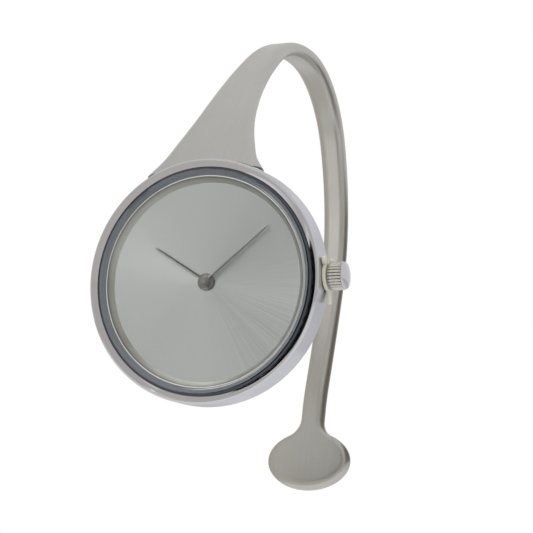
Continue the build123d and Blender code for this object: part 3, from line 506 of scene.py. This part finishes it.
flange = turned("flange", [
    (ring_outer, glass_ledge, 0), (ring_outer, dial_depth, 0), (ring_inner, dial_depth, 0),
    (ring_outer - ring_top_width, glass_ledge, ring_round)], ring_with_painted_light())
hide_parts("flange_ring")
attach(flange, "case")

# The dial: a thin brass disc brushed outwards from its middle, silvered and lacquered, with nothing
# printed on it. The brushing spreads light across its lines, so bright fans cross the dial.


def outwards(tree):
    """The last node of a short chain that gives the direction from the dial's middle."""
    place = add(tree, "TexCoord")
    from_middle = add(tree, "VectorMath", operation="SUBTRACT")
    flat = add(tree, "VectorMath", operation="MULTIPLY")
    unit = add(tree, "VectorMath", operation="NORMALIZE")
    from_middle.inputs[1].default_value = bezel_middle
    flat.inputs[1].default_value = (1, 0, 1)
    wire(tree, (
        (place, "Object", from_middle, 0), (from_middle, 0, flat, 0), (flat, 0, unit, 0)))
    return unit


def sunray_silver():
    """Fine streaks and broad fans that run outwards, with the colour painted lighter on the left of
    the dial as painted light; the streaks are real brushing, drawn stronger towards the lower
    right, where light shows them, as painted light.
    """
    material, tree, shader = new_finish("sunray_silver", (0.55, 0.56, 0.54), 1, 0.36)
    shader.inputs["Anisotropic"].default_value = 0.85
    direction = outwards(tree)
    across = add(tree, "VectorMath", operation="CROSS_PRODUCT")
    across.inputs[1].default_value = (0, 1, 0)
    fine = add(tree, "TexNoise", Scale=42.0, Detail=5.0, Roughness=0.75)
    broad = add(tree, "TexNoise", Scale=3.0, Detail=2.0)
    painted_light_left = add(tree, "VectorMath", operation="DOT_PRODUCT")
    lit_streak_side = add(tree, "VectorMath", operation="DOT_PRODUCT")
    lit_streak_strength = add(tree, "MapRange", From_Min=0.6, To_Min=0.25, To_Max=2.1)
    streaks = add(tree, "Math", operation="SUBTRACT")
    shown = add(tree, "Math", operation="MULTIPLY")
    painted_light_level = add(tree, "Math", operation="MULTIPLY_ADD")
    with_broad = add(tree, "Math", operation="MULTIPLY_ADD")
    light = add(tree, "Math", operation="ADD")
    silver = toned(tree, (0.39, 0.394, 0.38), (0.6, 0.605, 0.59))
    rough = add(tree, "MapRange", To_Min=0.32, To_Max=0.4)
    # Painted light: the colour is made lighter towards the left, and the streaks stronger lower
    # right.
    painted_light_left.inputs[1].default_value = (-0.95, 0, -0.1)
    lit_streak_side.inputs[1].default_value = (0.86, 0, -0.5)
    streaks.inputs[1].default_value = 0.5
    painted_light_level.inputs[1].default_value = 0.25
    painted_light_level.inputs[2].default_value = 0.28
    with_broad.inputs[1].default_value = 0.25
    wire(tree, (
        (direction, 0, across, 0), (across, 0, shader, "Tangent"), (direction, 0, fine, "Vector"),
        (direction, 0, broad, "Vector"), (direction, 0, painted_light_left, 0), (direction, 0, lit_streak_side, 0),
        (lit_streak_side, "Value", lit_streak_strength, "Value"), (fine, "Fac", streaks, 0),
        (streaks, 0, shown, 0), (lit_streak_strength, 0, shown, 1), (painted_light_left, "Value", painted_light_level, 0),
        (broad, "Fac", with_broad, 0), (painted_light_level, 0, with_broad, 2), (with_broad, 0, light, 0),
        (shown, 0, light, 1), (light, 0, silver, "Fac"), (silver, "Color", shader, "Base Color"),
        (fine, "Fac", rough, "Value"), (rough, 0, shader, "Roughness")))
    return material


def refinish(node, material):
    """Gives a piece of the frame that keeps its shape a better material."""
    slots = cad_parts[node].material_slots
    if not slots:
        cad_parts[node].data.materials.append(material)
    for slot in slots:
        slot.material = material


refinish("dial", sunray_silver())

# The hands: two slim steel needles with a ridge along the middle, each on a round boss pressed on
# its pipe. They are burnished steel, with the facets that face right and the bosses in darker
# copies of it, as painted shade, and the minute hand's boss carries a small domed cap.


def burnished_steel(name, colour):
    """Steel burnished with a fine grain, in tones a little about its colour."""
    material, tree, shader = new_finish(name, colour, 1, 0.22)
    place = add(tree, "TexCoord")
    grain = add(tree, "TexNoise", Scale=2600.0, Detail=3.0)
    tone = toned(tree, [value * 0.85 for value in colour], [value * 1.15 for value in colour])
    rough = add(tree, "MapRange", To_Min=0.17, To_Max=0.3)
    wire(tree, (
        (place, "Object", grain, "Vector"), (grain, "Fac", tone, "Fac"),
        (tone, "Color", shader, "Base Color"), (grain, "Fac", rough, "Value"),
        (rough, 0, shader, "Roughness")))
    return material


def needle(node, name, angle, length, width, boss_radius, cap_height):
    """A hand that is pointed at its end and has a roof-like top, with its round boss."""
    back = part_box(node)[1].y - bezel_middle.y
    front = back - hand_thickness
    direction = Vector((math.sin(math.radians(angle)), 0, math.cos(math.radians(angle))))
    side = Vector((direction.z, 0, -direction.x))
    solid = bmesh.new()
    rings = []
    for along_share, width_share in needle_width_shares:
        half = width * width_share / 2
        ridge = back - edge_height - min(hand_thickness - edge_height, facet_slope * half)
        corners = ((-half, back), (-half, back - edge_height), (0, ridge),
                   (half, back - edge_height), (half, back))
        rings.append([solid.verts.new(bezel_middle + direction * length * along_share
                                      + side * across + Vector((0, depth, 0)))
                      for across, depth in corners])
    for near, far in zip(rings, rings[1:]):
        for i in range(len(near)):
            beside = (i + 1) % len(near)
            solid.faces.new((near[i], near[beside], far[beside], far[i]))
    solid.faces.new(rings[0])
    solid.faces.new(rings[-1])
    bmesh.ops.recalc_face_normals(solid, faces=solid.faces)
    mesh = bpy.data.meshes.new(name)
    solid.to_mesh(mesh)
    solid.free()
    mesh.materials.append(hand_finish)
    piece = linked(name, mesh)
    cap = cap_radius_share * boss_radius
    boss = turned(name + "_boss", [
        (0, back, 0), (boss_radius, back, 0), (boss_radius, back - boss_wall, boss_wall_round),
        (boss_radius * boss_top_share, front - boss_rise, boss_slope_round),
        (cap, front - boss_rise, cap_foot_round),
        (cap * cap_top_share, front - cap_height, cap_top_round),
        (0, front - cap_height, 0)], hand_finish, steps=96, closed=False)
    join = piece.modifiers.new("join", "BOOLEAN")
    join.operation = "UNION"
    join.solver = "EXACT"
    join.object = boss
    settle(piece)
    bpy.data.objects.remove(boss)
    face_outwards(piece.data)
    smooth_but_for_edges(piece.data, angle=20)
    # Painted shade: facets that lean right get a darker copy of the hand's steel, the boss another.
    piece.data.materials.append(hand_painted_shade)
    piece.data.materials.append(boss_painted_shade)
    for face in piece.data.polygons:
        if face.normal.x > painted_shade_lean:
            face.material_index = 1
        elif from_axis(face) < boss_radius:
            face.material_index = 2
    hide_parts(node)
    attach(piece, node)


hand_thickness, edge_height = 0.16 * mm, 0.03 * mm
facet_slope = 0.36
needle_width_shares = ((0, 1), (0.3, 0.92), (0.8, 0.74), (0.93, 0.6), (0.975, 0.32), (1, 0.04))
boss_wall, boss_rise, boss_top_share = 0.07 * mm, 0.03 * mm, 0.72
boss_wall_round, boss_slope_round = 0.03 * mm, 0.25 * mm
cap_radius_share, cap_top_share = 0.55, 0.9
cap_foot_round, cap_top_round = 0.02 * mm, 0.06 * mm
painted_shade_lean = 0.12
hand_finish = burnished_steel("hand_steel", (0.44, 0.42, 0.37))
boss_painted_shade = burnished_steel("boss_painted_shade", (0.17, 0.163, 0.148))
hand_painted_shade = burnished_steel("hand_painted_shade", (0.085, 0.08, 0.072))
needle("hour_hand", "hour_needle", angle=-55.6, length=9.2 * mm, width=0.56 * mm,
       boss_radius=1.2 * mm, cap_height=0.04 * mm)
needle("minute_hand", "minute_needle", angle=52.4, length=11.9 * mm, width=0.42 * mm,
       boss_radius=0.75 * mm, cap_height=0.16 * mm)

# The movement behind the dial: a brass plate and nickel-plated bridge, brass wheels on steel
# arbors, a step motor and its copper coil, the board with its chip and resonator, and the cell.


def turned_metal(name, colour, roughness, lines):
    """Plated or plain metal with the fine concentric lines that turning leaves."""
    material, tree, shader = new_finish(name, colour, 1, roughness)
    place = add(tree, "TexCoord")
    marks = add(tree, "TexNoise", Scale=lines, Detail=3.0)
    tone = toned(tree, [value * 0.8 for value in colour],
                 [min(1, value * 1.12) for value in colour])
    bump = add(tree, "Bump", Strength=0.15, Distance=0.00001)
    wire(tree, (
        (place, "Object", marks, "Vector"), (marks, "Fac", tone, "Fac"),
        (tone, "Color", shader, "Base Color"), (marks, "Fac", bump, "Height"),
        (bump, 0, shader, "Normal")))
    return material


def moulded(name, colour, roughness, grain):
    """Moulded plastic, rubber or resin with a fine grain."""
    material, tree, shader = new_finish(name, colour, 0, roughness)
    place = add(tree, "TexCoord")
    pores = add(tree, "TexNoise", Scale=grain, Detail=2.0)
    rough = add(tree, "MapRange", To_Min=roughness * 0.85, To_Max=min(1, roughness * 1.2))
    bump = add(tree, "Bump", Strength=0.1, Distance=0.00002)
    wire(tree, (
        (place, "Object", pores, "Vector"), (pores, "Fac", rough, "Value"),
        (rough, 0, shader, "Roughness"), (pores, "Fac", bump, "Height"),
        (bump, 0, shader, "Normal")))
    return material


brass = turned_metal("brass", (0.62, 0.47, 0.2), 0.28, 1800.0)
nickel = turned_metal("nickel_plate", (0.56, 0.53, 0.48), 0.25, 1200.0)
gear_steel = turned_metal("gear_steel", (0.45, 0.45, 0.46), 0.22, 2400.0)
soft_iron = turned_metal("soft_iron", (0.3, 0.29, 0.27), 0.4, 900.0)
magnet = turned_metal("magnet", (0.08, 0.08, 0.085), 0.5, 3000.0)
copper = turned_metal("copper_wire", (0.55, 0.2, 0.08), 0.25, 5200.0)
solder_mask = moulded("green_board", (0.02, 0.12, 0.04), 0.35, 2600.0)
resin = moulded("black_resin", (0.012, 0.012, 0.013), 0.3, 2200.0)
film = moulded("blue_film", (0.02, 0.07, 0.3), 0.2, 900.0)
holder_plastic = moulded("holder_plastic", (0.7, 0.68, 0.63), 0.45, 1500.0)
rubber = moulded("black_rubber", (0.015, 0.015, 0.015), 0.6, 3500.0)
for finish, nodes in (
        (brass, ("main_plate", "hour_wheel", "minute_wheel", "centre_wheel", "third_wheel",
                 "fourth_wheel", "fifth_wheel")),
        (nickel, ("train_bridge", "quartz_can", "battery", "battery_clamp")),
        (gear_steel, ("cannon_pinion", "setting_wheel", "sliding_pinion", "setting_lever",
                      "stem", "bridge_screws")),
        (soft_iron, ("stator", "coil_core")), (magnet, ("rotor",)), (copper, ("coil",)),
        (solder_mask, ("circuit_board",)), (resin, ("chip",)), (film, ("battery_insulator",)),
        (holder_plastic, ("movement_holder",)), (rubber, ("case_back_gasket", "crown_gasket"))):
    for node in nodes:
        refinish(node, finish)

# The back: a plain stainless disc with a rounded edge that snaps into the case on a gasket. Its
# face is brushed round and round.
back_radius = case_rear - 0.2 * mm
back_front, back_depth = case_depth, case_depth + 0.8 * mm
rim_outer, rim_inner = case_bore - 0.02 * mm, case_bore - 0.82 * mm
rim_front = back_front - 0.45 * mm
groove_front, groove_rear = back_front - 0.325 * mm, back_front - 0.125 * mm
groove_floor = rim_outer - 0.35 * mm
back_front_round, back_edge_round = 0.08 * mm, 0.38 * mm


def brushed_round():
    """Satin steel brushed in circles about the dial's axis."""
    material, tree, shader = new_finish("brushed_back", (0.42, 0.415, 0.4), 1, 0.3)
    shader.inputs["Anisotropic"].default_value = 0.6
    place = add(tree, "TexCoord")
    from_middle = add(tree, "VectorMath", operation="SUBTRACT")
    reach = add(tree, "VectorMath", operation="LENGTH")
    rings = add(tree, "TexNoise", noise_dimensions="1D", Scale=9000.0, Detail=4.0)
    tone = toned(tree, (0.34, 0.335, 0.32), (0.48, 0.475, 0.46))
    direction = outwards(tree)
    from_middle.inputs[1].default_value = bezel_middle
    wire(tree, (
        (place, "Object", from_middle, 0), (from_middle, 0, reach, 0), (reach, "Value", rings, "W"),
        (rings, "Fac", tone, "Fac"), (tone, "Color", shader, "Base Color"),
        (direction, 0, shader, "Tangent")))
    return material


back = turned("back", [
    (0, back_front, 0), (rim_inner, back_front, 0), (rim_inner, rim_front, 0),
    (rim_outer, rim_front, 0), (rim_outer, groove_front, 0), (groove_floor, groove_front, 0),
    (groove_floor, groove_rear, 0), (rim_outer, groove_rear, 0), (rim_outer, back_front, 0),
    (back_radius, back_front, back_front_round), (back_radius, back_depth, back_edge_round),
    (0, back_depth, 0)], brushed_round(), closed=False)
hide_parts("case_back")
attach(back, "case")

# The crown: a steel knob on the stem, its side cut with rounded flutes for the fingers and its cap
# smooth and slightly domed. It is hollow, so that its skirt can slide over the tube.
crown_low, crown_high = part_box("crown")
crown_radius = (crown_high.z - crown_low.z) / 2
flute_count, flute_depth, flute_samples = 26, 0.2 * mm, 14
flute_length, flute_run_in, flute_rings = 1.95 * mm, 0.1 * mm, 6
groove_sharpness, painted_shade_depth_share = 0.6, 0.6
cap_radius = crown_radius - 0.08 * mm
cap_edge = 0.15 * mm
skirt_bore, skirt_depth, skirt_wall = 1.3 * mm, 1.5 * mm, 0.1 * mm
dome_rings, dome_share = 12, 0.97
crown_face = crown_low.x
hollow_floor = crown_face + skirt_depth
flute_end = crown_face + flute_length
dome_top = crown_high.x
dome_start = flute_end + cap_edge
dome_radius = (cap_radius ** 2 + (dome_top - dome_start) ** 2) / (2 * (dome_top - dome_start))
# Rings from the floor of the hollow out over the skirt and up to the cap: (x, radius, pinch). The
# doubled ones merge; they bring the count to 32, at which the node tree skips no ring.
crown_rings = [
    (hollow_floor, 0, 0), (hollow_floor, skirt_bore, 0), (hollow_floor, skirt_bore, 0),
    (crown_face, skirt_bore, 0), (crown_face, skirt_bore, 0),
    (crown_face, crown_radius - 0.12 * mm, flute_depth * 0.4),
    (crown_face + 0.03 * mm, crown_radius - 0.04 * mm, flute_depth * 0.8)]
for step in range(flute_rings + 1):
    along = flute_run_in + (flute_length - 2 * flute_run_in) * step / flute_rings
    crown_rings.append((crown_face + along, crown_radius, flute_depth))
crown_rings += [
    (flute_end - 0.04 * mm, crown_radius - 0.03 * mm, flute_depth),
    (flute_end, crown_radius - 0.12 * mm, flute_depth * 0.6),
    (flute_end, cap_radius - 0.06 * mm, 0), (flute_end + 0.015 * mm, cap_radius - 0.015 * mm, 0),
    (flute_end + 0.05 * mm, cap_radius, 0), (dome_start - 0.03 * mm, cap_radius, 0)]
dome_edge = math.asin(cap_radius / dome_radius)
for step in range(dome_rings):
    lean = dome_edge * (1 - step / (dome_rings - 1)) * dome_share
    crown_rings.append((dome_top - dome_radius * (1 - math.cos(lean)),
                        dome_radius * math.sin(lean), 0))
crown_mesh = bpy.data.meshes.new("crown_knob")
crown_mesh.from_pydata([(x, stem_place.y, stem_place.z + radius)
                        for x, radius, pinch in crown_rings], [], [])
pinch_layer = crown_mesh.attributes.new("pinch", "FLOAT", "POINT")
pinch_layer.data.foreach_set("value", [pinch for x, radius, pinch in crown_rings])
crown = linked("crown_knob", crown_mesh)
crown_finish = polished_steel("crown_steel", (0.58, 0.565, 0.53), 0.14)
made_plain(crown, turning_tree("fluting", "X_AXIS", groove_sharpness), {
    "Steps": flute_count * flute_samples, "Flutes": flute_count / 2,
    "Axis Place": stem_place, "Finish": crown_finish})
face_outwards(crown.data)
smooth_but_for_edges(crown.data, angle=40)
# Painted shade: the faces deep in the flutes get a near-black steel.
crown.data.materials.append(polished_steel("groove_painted_shade", (0.06, 0.058, 0.054), 0.3))
crown.data.materials.append(polished_steel("cap_steel", (0.6, 0.59, 0.63), 0.12))
painted_shade_radius = crown_radius - painted_shade_depth_share * flute_depth
groove_start, groove_end = crown_face + 0.05 * mm, flute_end - 0.02 * mm
for face in crown.data.polygons:
    reach = math.hypot(face.center.y - stem_place.y, face.center.z - stem_place.z)
    beside_groove = groove_start < face.center.x < groove_end
    if beside_groove and skirt_bore + skirt_wall < reach < painted_shade_radius:
        face.material_index = 1
    elif face.center.x > flute_end:
        face.material_index = 2
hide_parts("crown")
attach(crown, "crown")
# Painted shade: the tube's steel is made darker than the case's, for the shadow round the stem.
refinish("crown_tube", polished_steel("tube_painted_shade", (0.3, 0.3, 0.31), 0.2))

# The stop clip: a small moulded C of cream plastic, pushed on the tube so that the crown stays out
# and the cell lasts until the watch is sold. Two rounded ears close it and a tail pulls it off.
clip_round = 0.09 * mm
flat_within, bevelled_from = math.radians(1), math.radians(50)


def softened(node, name, width, finish):
    """A copy of a frame piece with its sharp corners rounded."""
    solid = bmesh.new()
    solid.from_mesh(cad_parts[node].data)
    bmesh.ops.remove_doubles(solid, verts=solid.verts, dist=1e-7)
    bmesh.ops.dissolve_limit(solid, angle_limit=flat_within, verts=solid.verts,
                             edges=solid.edges)
    mesh = bpy.data.meshes.new(name)
    solid.to_mesh(mesh)
    solid.free()
    mesh.materials.clear()
    mesh.materials.append(finish)
    piece = linked(name, mesh)
    bevel = piece.modifiers.new("edges", "BEVEL")
    bevel.width = width
    bevel.segments = 3
    bevel.limit_method = "ANGLE"
    bevel.angle_limit = bevelled_from
    settle(piece)
    smooth_but_for_edges(piece.data, angle=40)
    return piece


cream = moulded("cream_plastic", (0.68, 0.665, 0.54), 0.38, 2400.0)
clip = softened("crown_stop_clip", "stop_clip", clip_round, cream)
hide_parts("crown_stop_clip")
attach(clip, "crown_stop_clip")

# The bangle: one springy strip of stainless steel, flared where it is welded to the case at 12
# o'clock, formed over the wrist and down behind it, and ending in a flat oval. It is satin all
# over, and its rounded edges catch the light in a line.
band_root_depth, band_root_height = 1.3 * mm, case_radius - 2.1 * mm
band_root_heading = math.radians(55.6)
band_length = 107.6 * mm
band_arc_shares = ((0.2844, 24.9), (0.1487, 38.8), (0.158, 65.7), (0.2184, 37.0),
                   (0.1487, 3.5), (0.0418, -8.5))
band_thickness, band_edge_round, band_edge_reach = 2 * mm, 0.8 * mm, 1.15 * mm
narrowest_inset_share = 0.98
band_neck = 3 * mm
band_width_shares = ((0.0, 5.74), (0.026, 4.62), (0.056, 3.86), (0.1, 3.0), (0.15, 2.42),
                     (0.21, 2.0), (0.285, 1.7), (0.36, 1.52), (0.44, 1.4), (0.53, 1.31),
                     (0.62, 1.25), (0.71, 1.21), (0.8, 1.18), (0.9, 1.16), (1.0, 1.16))
oval_half_width, oval_half_height = 6.4 * mm, 4.5 * mm
oval_cant = math.radians(-6)
oval_neck, oval_round, oval_round_reach = 3.3 * mm, 2.8 * mm, 8 * mm
weld_gap = 0.07 * mm
fine_count, fine_end_count, fine_end_length = 6001, 400, 3 * mm
strap_stations, oval_stations, middle_count = 190, 46, 13
edge_search = 3 * mm
brushing_scale = 10


def band_frame(distance):
    """Depth, height and heading of the centreline, which runs on straight past its last arc."""
    depth, height, heading = band_root_depth, band_root_height, band_root_heading
    for share, turn in band_arc_shares:
        length = share * band_length
        step = min(length, distance)
        if step <= 0:
            break
        bend = math.radians(turn) * step / length
        chord = 2 * step / bend * math.sin(bend / 2)
        depth += chord * math.cos(heading - bend / 2)
        height += chord * math.sin(heading - bend / 2)
        heading -= bend
        distance -= step
    if distance > 0:
        depth += distance * math.cos(heading)
        height += distance * math.sin(heading)
    return depth, height, heading


def strap_half_width(distances):
    """Half the strap's width: a smooth curve through the listed widths."""
    shares, widths = np.array(band_width_shares).T
    slopes = np.gradient(widths, shares)
    share = np.clip(distances / band_length, 0, 1)
    cell = np.clip(np.searchsorted(shares, share, side="right") - 1, 0, len(shares) - 2)
    span = shares[cell + 1] - shares[cell]
    part = (share - shares[cell]) / span
    width = ((2 * part ** 3 - 3 * part ** 2 + 1) * widths[cell]
             + (part ** 3 - 2 * part ** 2 + part) * span * slopes[cell]
             + (3 * part ** 2 - 2 * part ** 3) * widths[cell + 1]
             + (part ** 3 - part ** 2) * span * slopes[cell + 1])
    return width * band_neck / 2


oval_middle = band_length + oval_neck + oval_half_height
oval_reach = math.hypot(oval_half_width * math.sin(oval_cant),
                        oval_half_height * math.cos(oval_cant))
band_end = oval_middle + oval_reach


def oval_edges(distances):
    """The canted oval's left and right edges, across the strap at each distance along it."""
    along = -(distances - oval_middle)
    sine, cosine = math.sin(oval_cant), math.cos(oval_cant)
    a, b = oval_half_width ** 2, oval_half_height ** 2
    square = cosine ** 2 / a + sine ** 2 / b
    linear = 2 * along * sine * cosine * (1 / a - 1 / b)
    rest = along ** 2 * (sine ** 2 / a + cosine ** 2 / b) - 1
    root = np.sqrt(np.maximum(linear ** 2 - 4 * square * rest, 0))
    return (-linear - root) / (2 * square), (-linear + root) / (2 * square)


def rolled(distances, edge):
    """The edge with its hollow corner filled to the radius of a ball rolled along it."""
    step = distances[1] - distances[0]
    reach = int(oval_round / step)
    ball = np.sqrt(oval_round ** 2 - (np.arange(-reach, reach + 1) * step) ** 2)
    padded = np.pad(edge, reach, mode="edge")
    raised = np.array([np.max(padded[i:i + len(ball)] + ball) for i in range(len(edge))])
    padded = np.pad(raised, reach, mode="edge")
    return np.array([np.min(padded[i:i + len(ball)] - ball) for i in range(len(edge))])


closing_in = np.linspace(1, 0, fine_end_count)[1:] ** 2
fine_steps = np.concatenate([np.linspace(0, band_end - fine_end_length, fine_count),
                             band_end - fine_end_length * closing_in])
strap_edge = strap_half_width(fine_steps)
left_oval, right_oval = oval_edges(fine_steps)
in_oval = fine_steps > oval_middle - oval_reach
before_middle = fine_steps <= oval_middle
right_edge = np.where(before_middle, np.maximum(strap_edge, np.where(in_oval, right_oval, 0)),
                      right_oval)
left_edge = np.where(before_middle, np.maximum(strap_edge, np.where(in_oval, -left_oval, 0)),
                     -left_oval)
near_oval = before_middle & (fine_steps > band_length - oval_round_reach)
right_edge[near_oval] = rolled(fine_steps[near_oval], right_edge[near_oval])
left_edge[near_oval] = rolled(fine_steps[near_oval], left_edge[near_oval])

close_in = np.array([0, 0.012, 0.05, 0.11, 0.2, 0.32, 0.47, 0.64, 0.82, 1.0]) * band_edge_reach
stations = np.concatenate([
    np.linspace(0, band_length, strap_stations),
    np.linspace(band_length, band_end - band_edge_reach, oval_stations)[1:],
    (band_end - close_in[::-1])[1:]])
middle_columns = np.linspace(0, 1, middle_count)[1:-1]
band_points, band_marks = [], []
outline = np.concatenate([np.stack([fine_steps, right_edge], 1),
                          np.stack([fine_steps, -left_edge], 1)])
for station in stations:
    right_reach = np.interp(station, fine_steps, right_edge)
    left_reach = -np.interp(station, fine_steps, left_edge)
    room = (right_reach - left_reach) / 2
    inset = close_in * min(1, room / band_edge_reach * narrowest_inset_share)
    left_side, right_side = left_reach + inset, right_reach - inset
    middle = left_side[-1] + (right_side[-1] - left_side[-1]) * middle_columns
    across = np.concatenate([left_side, middle, right_side[::-1]])
    close = outline[np.abs(outline[:, 0] - station) < edge_search]
    apart = np.sqrt((close[None, :, 0] - station) ** 2
                    + (close[None, :, 1] - across[:, None]) ** 2).min(1)
    apart = np.minimum(apart / band_edge_reach, 1) * band_edge_round
    apart[[0, -1]] = 0
    rise = (band_thickness / 2 - band_edge_round
            + np.sqrt(band_edge_round ** 2 - (band_edge_round - apart) ** 2))
    depth, height, heading = band_frame(station)
    for side in (1, -1):
        for x, up in zip(across, rise * side):
            band_points.append((x, bezel_middle.y + depth - up * math.sin(heading),
                                bezel_middle.z + height + up * math.cos(heading)))
            band_marks.append((x, station))
columns = len(across)
band_faces = []
for i in range(len(stations) - 1):
    a, b = 2 * columns * i, 2 * columns * (i + 1)
    for j in range(columns - 1):
        band_faces.append((a + j, a + j + 1, b + j + 1, b + j))
        band_faces.append((a + columns + j + 1, a + columns + j,
                           b + columns + j, b + columns + j + 1))
    band_faces.append((a, b, b + columns, a + columns))
    band_faces.append((a + columns - 1, a + 2 * columns - 1,
                       b + 2 * columns - 1, b + columns - 1))
band_faces.append(tuple(range(columns)) + tuple(range(2 * columns - 1, columns - 1, -1)))
band_mesh = bpy.data.meshes.new("bangle_strip")
band_mesh.from_pydata(band_points, [], band_faces)
brushing = band_mesh.uv_layers.new(name="along_the_strip")
marks = np.array(band_marks)
loop_vertices = np.zeros(len(band_mesh.loops), int)
band_mesh.loops.foreach_get("vertex_index", loop_vertices)
brushing.data.foreach_set("uv", (marks[loop_vertices] * brushing_scale).ravel())


def satin_steel():
    """Fine satin steel, brushed along the strip, with faint clouding."""
    material, tree, shader = new_finish("satin_steel", (0.51, 0.5, 0.475), 1, 0.34)
    shader.inputs["Anisotropic"].default_value = 0.35
    along = add(tree, "UVMap", uv_map="along_the_strip")
    stretch = add(tree, "Mapping")
    lines = add(tree, "TexNoise", Scale=14.0, Detail=6.0, Roughness=0.7)
    place = add(tree, "TexCoord")
    clouds = add(tree, "TexNoise", Scale=90.0, Detail=3.0)
    grain = add(tree, "TexNoise", Scale=7000.0, Detail=2.0)
    mix = add(tree, "Math", operation="MULTIPLY_ADD")
    tone = toned(tree, (0.455, 0.445, 0.42), (0.56, 0.55, 0.525))
    rough = add(tree, "MapRange", To_Min=0.29, To_Max=0.4)
    bump = add(tree, "Bump", Strength=0.08, Distance=0.00002)
    stretch.inputs["Scale"].default_value = (60, 1.2, 1)
    mix.inputs[1].default_value = 0.6
    tone.color_ramp.elements[0].position = 0.35
    wire(tree, (
        (along, 0, stretch, "Vector"), (stretch, 0, lines, "Vector"),
        (place, "Object", clouds, "Vector"), (place, "Object", grain, "Vector"),
        (clouds, "Fac", mix, 0), (lines, "Fac", mix, 2), (mix, 0, tone, "Fac"),
        (tone, "Color", shader, "Base Color"), (lines, "Fac", rough, "Value"),
        (rough, 0, shader, "Roughness"), (grain, "Fac", bump, "Height"),
        (bump, 0, shader, "Normal")))
    return material


band_mesh.materials.append(satin_steel())
bangle = linked("bangle_strip", band_mesh)
face_outwards(band_mesh)
cut(bangle, cylinder("case_room", case_radius + weld_gap, 4 * case_radius, bezel_middle, "X", 512))
smooth_but_for_edges(bangle.data)
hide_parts("bangle")
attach(bangle, "case")
